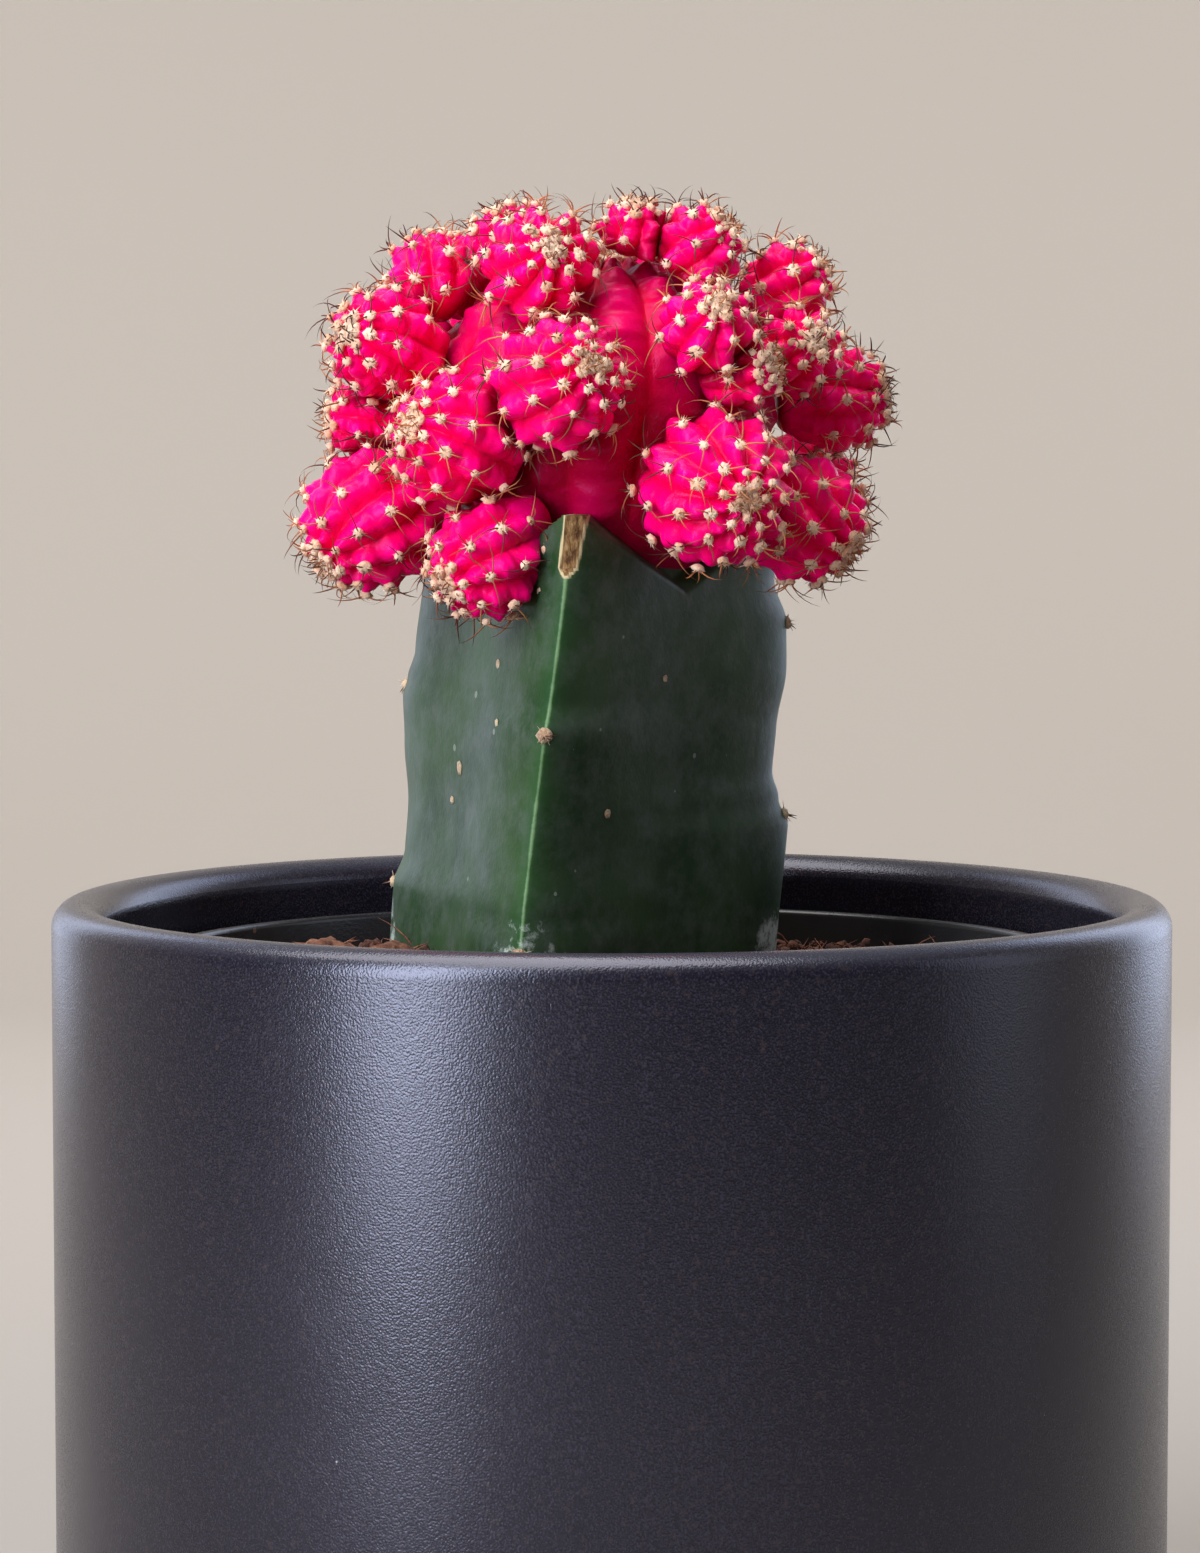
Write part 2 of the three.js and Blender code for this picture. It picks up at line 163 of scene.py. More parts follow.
COOL = (0.80, 0.87, 1.0)
BLUE = (0.60, 0.72, 1.0)
NEUTRAL = (1.0, 0.98, 0.96)
soft_box("key_box", -40, 18, 1.0, (0.38, 1.1), 21, COOL)
soft_box("top_box", -60, 78, 0.9, (0.9, 0.8), 12, NEUTRAL)
soft_box("left_strip", -146, 8, 0.85, (0.26, 1.1), 1.6, BLUE)
soft_box("right_strip", 140, 8, 0.85, (0.4, 1.1), 3.4, BLUE)
soft_box("right_fill", 82, 12, 1.0, (0.4, 0.8), 1.0, COOL)
soft_box("wall_box", 180, 55, 0.75, (1.5, 0.3), 11.2, NEUTRAL, aim=(0, FLOOR_RADIUS, 0.25))

world = bpy.data.worlds.new("studio")
bpy.context.scene.world = world
world.use_nodes = True
world.node_tree.nodes["Background"].inputs["Color"].default_value = (0.46, 0.51, 0.64, 1)
world.node_tree.nodes["Background"].inputs["Strength"].default_value = 0.14

# ---- Cachepot -----------------------------------------------------------------------------------
# A slip-cast stoneware cylinder with a full round lip, in a dark satin glaze. The foot ring is wiped
# bare before firing, and the hollow inside it is glazed.

WALL = 5.7 * MM
LIP_OUTER = 2.6 * MM
LIP_INNER = WALL - LIP_OUTER
FOOT_ROUND = 3.0 * MM
FOOT_HOLLOW = 46.0 * MM
HOLLOW_DEPTH = 1.5 * MM
FLOOR_THICK = 6.0 * MM
INSIDE_CORNER = 6.0 * MM


def noise_texture(tree, coordinates, scale, detail=3.0, roughness=0.5, stretch=None):
    """A noise texture on the given coordinates. Its scale is in waves a metre."""
    texture = tree.nodes.new("ShaderNodeTexNoise")
    texture.inputs["Scale"].default_value = scale
    texture.inputs["Detail"].default_value = detail
    texture.inputs["Roughness"].default_value = roughness
    if stretch:
        mapping = tree.nodes.new("ShaderNodeMapping")
        mapping.inputs["Scale"].default_value = stretch
        tree.links.new(coordinates, mapping.inputs["Vector"])
        coordinates = mapping.outputs["Vector"]
    tree.links.new(coordinates, texture.inputs["Vector"])
    return texture.outputs["Fac"]


def object_coordinates(tree):
    return tree.nodes.new("ShaderNodeTexCoord").outputs["Object"]


def height_of(tree, coordinates):
    split = tree.nodes.new("ShaderNodeSeparateXYZ")
    tree.links.new(coordinates, split.inputs["Vector"])
    return split.outputs["Z"]


def ramp(tree, factor, stops):
    """A colour ramp through (position, colour) stops. A plain number is a grey."""
    node = tree.nodes.new("ShaderNodeValToRGB")
    elements = node.color_ramp.elements
    while len(elements) < len(stops):
        elements.new(0.5)
    for element, (position, colour) in zip(elements, stops):
        rgb = colour if isinstance(colour, tuple) else (colour, colour, colour)
        element.position = position
        element.color = (*rgb, 1)
    tree.links.new(factor, node.inputs["Fac"])
    return node.outputs["Color"]


def feed(tree, value, socket):
    """Links another socket to this one, or sets it to a plain number or colour."""
    if isinstance(value, bpy.types.NodeSocket):
        tree.links.new(value, socket)
    else:
        socket.default_value = (*value, 1) if isinstance(value, tuple) else value


def mix(tree, factor, first, second):
    """Mixes two colours, each a socket or a plain colour, by a socket or a number."""
    node = tree.nodes.new("ShaderNodeMix")
    node.data_type = "RGBA"
    feed(tree, factor, node.inputs[0])
    feed(tree, first, node.inputs[6])
    feed(tree, second, node.inputs[7])
    return node.outputs[2]


def math_node(tree, operation, first, second):
    node = tree.nodes.new("ShaderNodeMath")
    node.operation = operation
    feed(tree, first, node.inputs[0])
    feed(tree, second, node.inputs[1])
    return node.outputs[0]


def shared(tree, first, share, second):
    """Adds two masks: this share of the first, and the rest of the second."""
    rest = math_node(tree, "MULTIPLY", second, 1 - share)
    return math_node(tree, "ADD", math_node(tree, "MULTIPLY", first, share), rest)


def bump(tree, shader, height, distance):
    """Feeds a height, in units of the given distance, to the shader's normal."""
    node = tree.nodes.new("ShaderNodeBump")
    node.inputs["Distance"].default_value = distance
    tree.links.new(height, node.inputs["Height"])
    tree.links.new(node.outputs["Normal"], shader.inputs["Normal"])


SPOT_RARITY = 0.72  # this share of the cells holds no spot
GRAINS_PER_SPOT = 6.0


def speckle_group():
    """Dust and pinholes: sparse small spots in one mask, and a fine even grain in a height."""
    group = bpy.data.node_groups.new("speckle", "ShaderNodeTree")
    group.interface.new_socket("Vector", in_out="INPUT", socket_type="NodeSocketVector")
    size = group.interface.new_socket("Spots per Metre", in_out="INPUT", socket_type="NodeSocketFloat")
    size.default_value = 300
    share = group.interface.new_socket("Spot Size", in_out="INPUT", socket_type="NodeSocketFloat")
    share.default_value = 0.1
    group.interface.new_socket("Spots", in_out="OUTPUT", socket_type="NodeSocketFloat")
    group.interface.new_socket("Grain", in_out="OUTPUT", socket_type="NodeSocketFloat")
    into = group.nodes.new("NodeGroupInput")
    out = group.nodes.new("NodeGroupOutput")
    cells = group.nodes.new("ShaderNodeTexVoronoi")
    group.links.new(into.outputs["Vector"], cells.inputs["Vector"])
    group.links.new(into.outputs["Spots per Metre"], cells.inputs["Scale"])
    lucky = group.nodes.new("ShaderNodeSeparateColor")
    group.links.new(cells.outputs["Color"], lucky.inputs["Color"])
    reach = math_node(group, "MULTIPLY", lucky.outputs["Red"], into.outputs["Spot Size"])
    near = math_node(group, "LESS_THAN", cells.outputs["Distance"], reach)
    rare = math_node(group, "GREATER_THAN", lucky.outputs["Green"], SPOT_RARITY)
    group.links.new(math_node(group, "MULTIPLY", near, rare), out.inputs["Spots"])
    grain = group.nodes.new("ShaderNodeTexNoise")
    grain.inputs["Detail"].default_value = 2.0
    group.links.new(into.outputs["Vector"], grain.inputs["Vector"])
    finer = math_node(group, "MULTIPLY", into.outputs["Spots per Metre"], GRAINS_PER_SPOT)
    group.links.new(finer, grain.inputs["Scale"])
    group.links.new(grain.outputs["Fac"], out.inputs["Grain"])
    return group


SPECKLE = speckle_group()


def speckles(tree, coordinates, per_metre, size):
    node = tree.nodes.new("ShaderNodeGroup")
    node.node_tree = SPECKLE
    node.inputs["Spots per Metre"].default_value = per_metre
    node.inputs["Spot Size"].default_value = size
    tree.links.new(coordinates, node.inputs["Vector"])
    return node.outputs["Spots"], node.outputs["Grain"]


def satin_glaze(name, gloss):
    """A dark charcoal glaze with an orange-peel surface. It has freckles, and is paler over the lip, partly
    where the glaze breaks thin and partly as a painted highlight.
    """
    material, tree, shader = new_material(
        name, (0.016, 0.015, 0.019), 0.4, Specular_IOR_Level=gloss, Specular_Tint=(0.84, 0.84, 1, 1)
    )
    place = object_coordinates(tree)
    depth = noise_texture(tree, place, 26, 4)
    colour = ramp(tree, depth, [(0.3, (0.0080, 0.0064, 0.0108)), (0.7, (0.0124, 0.0102, 0.0162))])
    pores = noise_texture(tree, place, 4800, 0.0)
    colour = mix(tree, ramp(tree, pores, [(0.34, 0.0), (0.60, 1.0)]), (0.0052, 0.0042, 0.0070), colour)
    colour = mix(tree, ramp(tree, pores, [(0.60, 0.0), (0.74, 0.8)]), colour, (0.022, 0.019, 0.028))
    freckles = noise_texture(tree, place, 1300, 2, 0.6)
    colour = mix(tree, ramp(tree, freckles, [(0.58, 0.0), (0.72, 0.55)]), colour, (0.032, 0.021, 0.020))
    dust, _ = speckles(tree, place, 150, 0.022)
    colour = mix(tree, dust, colour, (0.3, 0.29, 0.28))
    # Paler, bluer colour over the lip: partly the glaze breaking thin over the edge, partly a painted
    # highlight along it.
    over_rim = math_node(tree, "SUBTRACT", height_of(tree, place), RIM_Z - LIP_OUTER)
    over_rim = math_node(tree, "DIVIDE", over_rim, LIP_OUTER)
    colour = mix(tree, ramp(tree, over_rim, [(0.35, 0.0), (0.95, 1.0)]), colour, (0.030, 0.030, 0.039))
    tree.links.new(colour, shader.inputs["Base Color"])
    haze = math_node(tree, "MULTIPLY", noise_texture(tree, place, 60, 3), 0.12)
    gloss_grain = math_node(tree, "MULTIPLY", pores, 0.10)
    rough = math_node(tree, "ADD", math_node(tree, "ADD", haze, gloss_grain), 0.15)
    tree.links.new(rough, shader.inputs["Roughness"])
    bump(tree, shader, pores, 0.026 * MM)
    return material


def bare_stoneware():
    """The wiped foot ring: pale fired clay with iron specks."""
    material, tree, shader = new_material("bare_stoneware", (0.42, 0.36, 0.3), 0.85)
    place = object_coordinates(tree)
    specks, grain = speckles(tree, place, 900, 0.35)
    body = ramp(tree, noise_texture(tree, place, 70), [(0.3, (0.36, 0.3, 0.25)), (0.7, (0.46, 0.4, 0.33))])
    tree.links.new(mix(tree, specks, body, (0.12, 0.08, 0.06)), shader.inputs["Base Color"])
    bump(tree, shader, grain, 0.05 * MM)
    return material


def cachepot():
    inner = POT_RADIUS - WALL
    profile = [(0, HOLLOW_DEPTH), (FOOT_HOLLOW - HOLLOW_DEPTH, HOLLOW_DEPTH), (FOOT_HOLLOW, 0)]
    profile += arc(POT_RADIUS - FOOT_ROUND, FOOT_ROUND, FOOT_ROUND, -90, 0, 8)
    profile += arc(POT_RADIUS - LIP_OUTER, RIM_Z - LIP_OUTER, LIP_OUTER, 0, 90, 12)
    profile += arc(inner + LIP_INNER, RIM_Z - LIP_INNER, LIP_INNER, 90, 180, 12)[1:]
    profile += arc(inner - INSIDE_CORNER, FLOOR_THICK + INSIDE_CORNER, INSIDE_CORNER, 0, -90, 6)
    profile += [(0, FLOOR_THICK)]
    bm = spun(profile, 192)
    for face in bm.faces:
        middle = face.calc_center_median()
        out = middle.xy.length
        under_lip = FLOOR_THICK / 2 < middle.z < RIM_Z - 0.8 * LIP_INNER
        if middle.z < 0.2 * MM and out > FOOT_HOLLOW:
            face.material_index = 1
        elif under_lip and out < inner + 0.5 * LIP_INNER:
            face.material_index = 2
    # The inner wall under the lip takes a duller copy of the glaze, as painted shade inside the pot.
    coats = [satin_glaze("satin_glaze", 0.66), bare_stoneware(), satin_glaze("shaded_inner_glaze", 0.2)]
    return keep("glazed_cachepot", bm, coats)


pot = cachepot()
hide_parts("cachepot")
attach(pot, "root")

# ---- Nursery pot --------------------------------------------------------------------------------
# The thin injection-moulded pot that the plant is sold in. It has a straight collar under its rim, a
# raised floor with drain slots, and a notched foot ring, and stands loose in the cachepot.

liner_low, liner_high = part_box("nursery_pot")
LINER_TOP = liner_high[2]
LINER_FOOT = liner_low[2]
LINER_RADIUS = (liner_high[0] - liner_low[0]) / 2
LINER_FOOT_RADIUS = 37.0 * MM
LINER_WALL = 1.3 * MM
FOOT_RING = 4.0 * MM
RAISED_FLOOR = 3.0 * MM
COLLAR_HEIGHT = 13.0 * MM
COLLAR_STEP = 2.2 * MM
DRAIN_SLOTS = 6
FIRST_SLOT = 0.3  # radians
SLOT_LENGTH = 12 * MM
SLOT_WIDTH = 3.4 * MM
NOTCH_HEIGHT = 1.2 * MM


def moulded_plastic():
    """Black recycled polypropylene with a fine mould texture, and water marks where it has dried."""
    material, tree, shader = new_material("moulded_plastic", (0.012, 0.012, 0.013), 0.3)
    place = object_coordinates(tree)
    marks = noise_texture(tree, place, 40, 5, 0.65)
    dull = ramp(tree, marks, [(0.42, (0.010, 0.010, 0.011)), (0.7, (0.022, 0.021, 0.021))])
    dust, grain = speckles(tree, place, 420, 0.18)
    tree.links.new(mix(tree, dust, dull, (0.12, 0.07, 0.045)), shader.inputs["Base Color"])
    tree.links.new(ramp(tree, marks, [(0.35, 0.20), (0.75, 0.36)]), shader.inputs["Roughness"])
    bump(tree, shader, grain, 0.02 * MM)
    return material


def box_at(name, size, middle, turn):
    """A block to cut with, turned about Z. It isn't part of the object."""
    bm = bmesh.new()
    bmesh.ops.create_cube(bm, size=1, matrix=Matrix.Translation(middle) @ Matrix.Diagonal((*size, 1)))
    bmesh.ops.rotate(bm, verts=bm.verts, cent=(0, 0, 0), matrix=Matrix.Rotation(turn, 3, "Z"))
    return keep(name, bm, [], smooth=False)


def nursery_pot():
    rim = LINER_WALL / 2
    wall_top = LINER_RADIUS - COLLAR_STEP
    step = LINER_TOP - COLLAR_HEIGHT
    ring = LINER_FOOT_RADIUS - FOOT_RING
    floor = LINER_FOOT + RAISED_FLOOR
    profile = [(0, floor - LINER_WALL), (ring, floor - LINER_WALL), (ring, LINER_FOOT)]
    profile += [(LINER_FOOT_RADIUS, LINER_FOOT), (wall_top, step), (LINER_RADIUS, step + 1.2 * MM)]
    profile += arc(LINER_RADIUS - rim, LINER_TOP - rim, rim, 0, 180, 8)
    profile += [(LINER_RADIUS - LINER_WALL, step + 2 * MM), (wall_top - LINER_WALL, step)]
    profile += [(LINER_FOOT_RADIUS - LINER_WALL, floor), (0, floor)]
    piece = keep("moulded_nursery_pot", spun(profile, 160), [moulded_plastic()])
    cutters = []
    for i in range(DRAIN_SLOTS):
        turn = i * 2 * math.pi / DRAIN_SLOTS + FIRST_SLOT
        slot = (SLOT_LENGTH, SLOT_WIDTH, 4 * LINER_WALL)
        cutters.append(box_at(f"slot_{i}", slot, (ring - SLOT_LENGTH, 0, floor - LINER_WALL / 2), turn))
        notch = (3 * FOOT_RING, SLOT_WIDTH, 2 * NOTCH_HEIGHT)
        notched = (LINER_FOOT_RADIUS - FOOT_RING / 2, 0, LINER_FOOT)
        cutters.append(box_at(f"notch_{i}", notch, notched, turn))
    for cutter in cutters:
        cut = piece.modifiers.new("cut", "BOOLEAN")
        cut.operation = "DIFFERENCE"
        cut.solver = "EXACT"
        cut.object = cutter
    graph = bpy.context.evaluated_depsgraph_get()
    finished = bpy.data.meshes.new_from_object(piece.evaluated_get(graph))
    piece.modifiers.clear()
    piece.data = finished
    for cutter in cutters:
        bpy.data.objects.remove(cutter)
    piece.data.set_sharp_from_angle(angle=math.radians(40))
    return piece


liner = nursery_pot()
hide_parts("nursery_pot")
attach(liner, "root")

# ---- Rootstock ----------------------------------------------------------------------------------
# A cutting of a three-winged climbing cactus, cut flat on top and pared back along each wing for the
# graft. The pared faces have healed to cork, and each wing has a small woolly areole at every step.

STEM_FOOT = 40.0 * MM
STEM_TOP = RIM_Z + 41.3 * MM
WING_POINT = 0.72  # a flank drops this much per unit off to the side, right at the wing's edge
WING_CURVE = 0.075 / MM  # and steepens away from the edge, down to the hollow between two wings
WING_BLUNT = 0.3 * MM  # the very edge is rounded over this much
VALLEY_ROUND = 0.16  # radians
WING_STEP = 2 * math.pi / 3
KEEL_WIDTH = 0.14  # radians: the painted highlight and painted glow along a wing's edge
CORE_RADIUS = 11 * MM  # the stem inside the wings, which the paring leaves whole
BLADE_HALF = 1.1 * MM  # half the thickness that the paring leaves of a wing at the top
BLADE_SPREAD = 1.2  # how much it thickens per unit of drop
SCAR_REACH = 23.2 * MM  # the front wing's edge is sliced off at this reach
SCAR_LENGTH = 6.4 * MM  # down to here
SCAR_ROUND = 1 * MM  # from this much higher up,
SCAR_RUNOUT = 0.7  # the slice leaves the wing at this slope
SCAR_SLANT = 0.4  # at the top the slice is this much deeper per unit to the right
SIDE_PARING = 17.2 * MM  # the other two wings' edges are pared back to this reach at the top
FOOT_SHARE = 0.45  # the buried foot narrows to this share of the width,
FOOT_TAPER = 26 * MM  # over this much of its height
AXIS_X = -5 * MM  # at the rim's height
AXIS_LEAN = 0.075
TWIST_AT_RIM = -9.8  # degrees, of the whole stem
TWIST_ABOVE = 4.2  # degrees more at the graft
# Height over the rim and reach from the stem's axis, in millimetres, down the edge of each wing.
FRONT_WING = [
    (41, 24.0), (33, 24.0), (22, 23.9), (19, 24.6), (13, 23.9),
    (5, 23.7), (0, 24.3), (-4, 24.9), (-12, 24.2), (-65, 24),
]
RIGHT_WING = [
    (41, 22.0), (34, 22.2), (29, 24.0), (24, 24.2), (18, 23.4),
    (13, 23.2), (10, 24.1), (7, 25.4), (-4, 25.1), (-65, 24),
]
LEFT_WING = [
    (41, 21.6), (34, 22.4), (26, 23.0), (23, 23.9), (21, 24.5),
    (16, 24.1), (9, 23.3), (4, 23.4), (0, 24.8), (-65, 24),
]
WINGS = (FRONT_WING, RIGHT_WING, LEFT_WING)


def smooth(value, low, high):
    """0 below low, 1 above high, and a smooth rise between."""
    t = min(1.0, max(0.0, (value - low) / (high - low)))
    return t * t * (3 - 2 * t)


def outline(points, height):
    """Reads a wing's reach, in metres, at a height in metres over the rim."""
    h = height / MM
    for (above, reach_above), (below, reach_below) in zip(points, points[1:]):
        if h >= below:
            return MM * (reach_below + (reach_above - reach_below) * smooth(h, below, above))
    return MM * points[-1][1]


def stem_axis(z):
    """The middle of the stem at a height. It stands off the pot's middle, and leans."""
    return Vector((AXIS_X + AXIS_LEAN * (z - RIM_Z), 0, z))


def stem_turn(z):
    """The whole stem is twisted a few degrees between the mix and the graft."""
    return math.radians(TWIST_AT_RIM + TWIST_ABOVE * smooth(z, RIM_Z, RIM_Z + 38 * MM))


def off_wing(turn):
    """The turn from the nearest wing's edge."""
    return turn - WING_STEP * round(turn / WING_STEP)


def eased_turn(off):
    """Eases the turn away from a wing's edge, so that the two flanks meet in a rounded hollow."""
    half = WING_STEP / 2
    most = math.hypot(half, VALLEY_ROUND)
    return half * (most - math.hypot(half - abs(off), VALLEY_ROUND)) / (most - VALLEY_ROUND)


def stem_reach(turn, z):
    """The skin's distance from the axis, and how far it is pared, at a turn from the front wing."""
    wing = round(turn / WING_STEP)
    off = off_wing(turn)
    edge = outline(WINGS[wing % 3], z - RIM_Z)
    next_wing = wing + (1 if off > 0 else -1)
    beside = outline(WINGS[next_wing % 3], z - RIM_Z)
    edge += (beside - edge) * 0.5 * smooth(abs(off), WING_STEP / 8, WING_STEP / 2)
    rise = math.tan(eased_turn(off))
    lean = 1 + WING_POINT * rise
    side = 2 * rise * edge / (lean + math.hypot(lean, 2 * rise * math.sqrt(WING_CURVE * edge)))
    blunted = math.hypot(side, WING_BLUNT) - WING_BLUNT
    full = math.hypot(edge - WING_POINT * blunted - WING_CURVE * side**2, side)
    full *= FOOT_SHARE + (1 - FOOT_SHARE) * smooth(z, STEM_FOOT, STEM_FOOT + FOOT_TAPER)
    drop = STEM_TOP - z
    if wing % 3 == 0:
        slant = SCAR_SLANT * max(0.0, 1 - drop / SCAR_LENGTH)
        past = max(0.0, drop - SCAR_LENGTH + SCAR_ROUND)
        pared = SCAR_REACH - slant * edge * off + SCAR_RUNOUT * past
    else:
        pared = SIDE_PARING + drop
    blade = (BLADE_HALF + BLADE_SPREAD * drop) / max(abs(math.sin(off)), 1e-6)
    return min(full, pared, max(blade, CORE_RADIUS)), smooth(full - pared, 0, 0.25 * MM)


def stem_point(turn, z, lift=0.0):
    reach = stem_reach(turn, z)[0] + lift
    azimuth = turn + stem_turn(z)
    return stem_axis(z) + reach * Vector((math.sin(azimuth), -math.cos(azimuth), 0))


def attribute(tree, name):
    node = tree.nodes.new("ShaderNodeAttribute")
    node.attribute_name = name
    return node.outputs["Fac"]


def stem_skin():
    """Waxy green skin: a painted highlight and glow along the edges, dusty in clouds, scuffed near the mix,
    corky on the cuts.
    """
    material, tree, shader = new_material(
        "stem_skin", (0.05, 0.09, 0.05), 0.4, Specular_IOR_Level=0.15, Specular_Tint=(0.9, 1, 0.86, 1)
    )
    place = object_coordinates(tree)
    patches = noise_texture(tree, place, 60, 4, 0.55)
    green = ramp(tree, patches, [(0.38, (0.011, 0.033, 0.011)), (0.62, (0.031, 0.064, 0.023))])
    clouds = noise_texture(tree, place, 230, 6, 0.75)
    green = mix(tree, ramp(tree, clouds, [(0.44, 0.0), (0.64, 0.6)]), green, (0.072, 0.092, 0.072))
    streaks = noise_texture(tree, place, 420, 3, 0.6, stretch=(1, 1, 0.12))
    green = mix(tree, ramp(tree, streaks, [(0.60, 0.0), (0.82, 0.3)]), green, (0.09, 0.12, 0.08))
    # Painted light along each wing's edge: a soft green glow, standing in for light through the thin edge,
    # and a thin bright painted highlight on the edge itself.
    painted_edge_glow = ramp(tree, attribute(tree, "keel"), [(0.35, 0.0), (0.95, 0.45)])
    green = mix(tree, painted_edge_glow, green, (0.024, 0.080, 0.020))
    highlight_breaks = ramp(tree, clouds, [(0.3, 0.94), (0.6, 1.0)])
    painted_edge_highlight = math_node(tree, "MULTIPLY", attribute(tree, "keel"), highlight_breaks)
    green = mix(tree, ramp(tree, painted_edge_highlight, [(0.91, 0.0), (0.975, 0.65)]), green, (0.17, 0.28, 0.12))
    flecks, grain = speckles(tree, place, 420, 0.17)
    green = mix(tree, math_node(tree, "MULTIPLY", flecks, 0.5), green, (0.3, 0.32, 0.27))
    worn = math_node(tree, "MULTIPLY", noise_texture(tree, place, 380, 6, 0.75), attribute(tree, "scuff"))
    green = mix(tree, ramp(tree, worn, [(0.42, 0.0), (0.56, 0.8)]), green, (0.5, 0.55, 0.5))
    cut = attribute(tree, "cut")
    grainy = noise_texture(tree, place, 1500, 4, 0.7, stretch=(1, 1, 0.35))
    browns = [(0.4, (0.07, 0.03, 0.012)), (0.53, (0.20, 0.105, 0.04)), (0.72, (0.42, 0.27, 0.12))]
    cork = ramp(tree, grainy, browns)
    cork = mix(tree, ramp(tree, cut, [(0.75, 0.9), (1.0, 0.0)]), cork, (0.50, 0.40, 0.22))
    colour = mix(tree, ramp(tree, cut, [(0.05, 0.0), (0.3, 1.0)]), green, cork)
    tree.links.new(colour, shader.inputs["Base Color"])
    rough = mix(tree, cut, ramp(tree, patches, [(0.3, 0.36), (0.7, 0.44)]), (0.85, 0.85, 0.85))
    tree.links.new(rough, shader.inputs["Roughness"])
    skin = math_node(tree, "MULTIPLY", noise_texture(tree, place, 600, 4, 0.6), 0.9)
    bark = math_node(tree, "MULTIPLY", math_node(tree, "MULTIPLY", grainy, cut), 5.0)
    skin = math_node(tree, "ADD", skin, math_node(tree, "MULTIPLY", grain, 0.3))
    bump(tree, shader, math_node(tree, "ADD", skin, bark), 0.05 * MM)
    return material


def felt(name, pale, dark):
    """Short matted plant wool, browned by age in places."""
    material, tree, shader = new_material(
        name, pale, 0.95, Sheen_Weight=0.25, Subsurface_Weight=0.15, Subsurface_Scale=1.0,
        Subsurface_Radius=(0.8 * MM, 0.4 * MM, 0.25 * MM),
    )
    place = object_coordinates(tree)
    aged = noise_texture(tree, place, 260, 2)
    fine = noise_texture(tree, place, 3200, 3, 0.7)
    browning = shared(tree, aged, 0.65, fine)
    tree.links.new(ramp(tree, browning, [(0.36, dark), (0.56, pale)]), shader.inputs["Base Color"])
    bump(tree, shader, fine, 0.25 * MM)
    return material


stem_wool = felt("stem_wool", (0.62, 0.44, 0.26), (0.24, 0.12, 0.06))


def spine_material(name, base, tip, mottle):
    """Dry spine tissue, darker towards the point, and varied from tuft to tuft."""
    material, tree, shader = new_material(name, base, 0.5, Specular_IOR_Level=0.25)
    place = object_coordinates(tree)
    age = ramp(tree, noise_texture(tree, place, 130, 2), [(0.43, base), (0.56, mottle)])
    worn = math_node(tree, "MULTIPLY", attribute(tree, "along"), attribute(tree, "along"))
    tree.links.new(mix(tree, worn, age, tip), shader.inputs["Base Color"])
    bump(tree, shader, noise_texture(tree, place, 2500), 0.02 * MM)
    return material


stem_spine = spine_material("stem_spine", (0.13, 0.06, 0.03), (0.03, 0.015, 0.01), (0.22, 0.11, 0.05))


def tuft_template(detail):
    """One flattened, lumpy pad of wool of unit radius, to be repeated."""
    bm = bmesh.new()
    bmesh.ops.create_icosphere(bm, subdivisions=detail, radius=1)
    for vertex in bm.verts:
        vertex.co *= 1 + 0.42 * noise.noise(2.9 * vertex.co + Vector((3, 1, 7)))
    return to_mesh("tuft_template", bm)


def spine_template(sides, rings):
    """One straight tapered spine of unit length along Z, with how far along it each vertex lies."""
    bm = bmesh.new()
    bmesh.ops.create_circle(bm, segments=sides, radius=1, cap_ends=True)
    bmesh.ops.reverse_faces(bm, faces=bm.faces)
    loop = list(bm.edges)
    for ring in range(1, rings + 1):
        grown = bmesh.ops.extrude_edge_only(bm, edges=loop)["geom"]
        loop = [part for part in grown if isinstance(part, bmesh.types.BMEdge)]
        loop = [edge for edge in loop if len(edge.link_faces) == 1]
        for vertex in {v for edge in loop for v in edge.verts}:
            width = 1 - 0.93 * (ring / rings) ** 2
            flat = vertex.co.xy.normalized() * width
            vertex.co = Vector((flat.x, flat.y, ring / rings))
    bmesh.ops.holes_fill(bm, edges=loop)
    bmesh.ops.recalc_face_normals(bm, faces=bm.faces)
    along = bm.verts.layers.float.new("along")
    for vertex in bm.verts:
        vertex[along] = vertex.co.z
    return to_mesh("spine_template", bm)


TUFT = tuft_template(2)
SPINE = spine_template(4, 5)
HAIR = spine_template(3, 2)


def add_copy(bm, template, material_index, place):
    """Adds a copy of a template to a mesh, with each of its vertices put where the function says."""
    copy = template.copy()
    for vertex in copy.vertices:
        vertex.co = place(vertex.co)
    copy.polygons.foreach_set("material_index", [material_index] * len(copy.polygons))
    bm.from_mesh(copy)
    bpy.data.meshes.remove(copy)


def add_tuft(bm, material_index, middle, facing, size, height, draw):
    """A woolly pad sitting on the skin."""
    turn = facing.to_track_quat("Z", "Y") @ Quaternion((0, 0, 1), draw.uniform(0, 6.28))
    wide = size * draw.uniform(0.85, 1.15)
    narrow = size * draw.uniform(0.75, 1.0)
    add_copy(bm, TUFT, material_index, lambda v: middle + turn @ (v * Vector((wide, narrow, height))))


def add_spine(bm, material_index, root, way, curl, length, width, template=SPINE):
    """A curved spine from root, leaving along way and bending over towards curl."""
    turn = way.to_track_quat("Z", "Y")

    def place(v):
        across = turn @ Vector((v.x * width, v.y * width, 0))
        return root + across + way * (v.z * length) + curl * (length * v.z * v.z)

    add_copy(bm, template, material_index, place)


def tangents(way):
    """Two directions across a direction, square to it and to each other."""
    first = way.orthogonal().normalized()
    return first, way.cross(first)


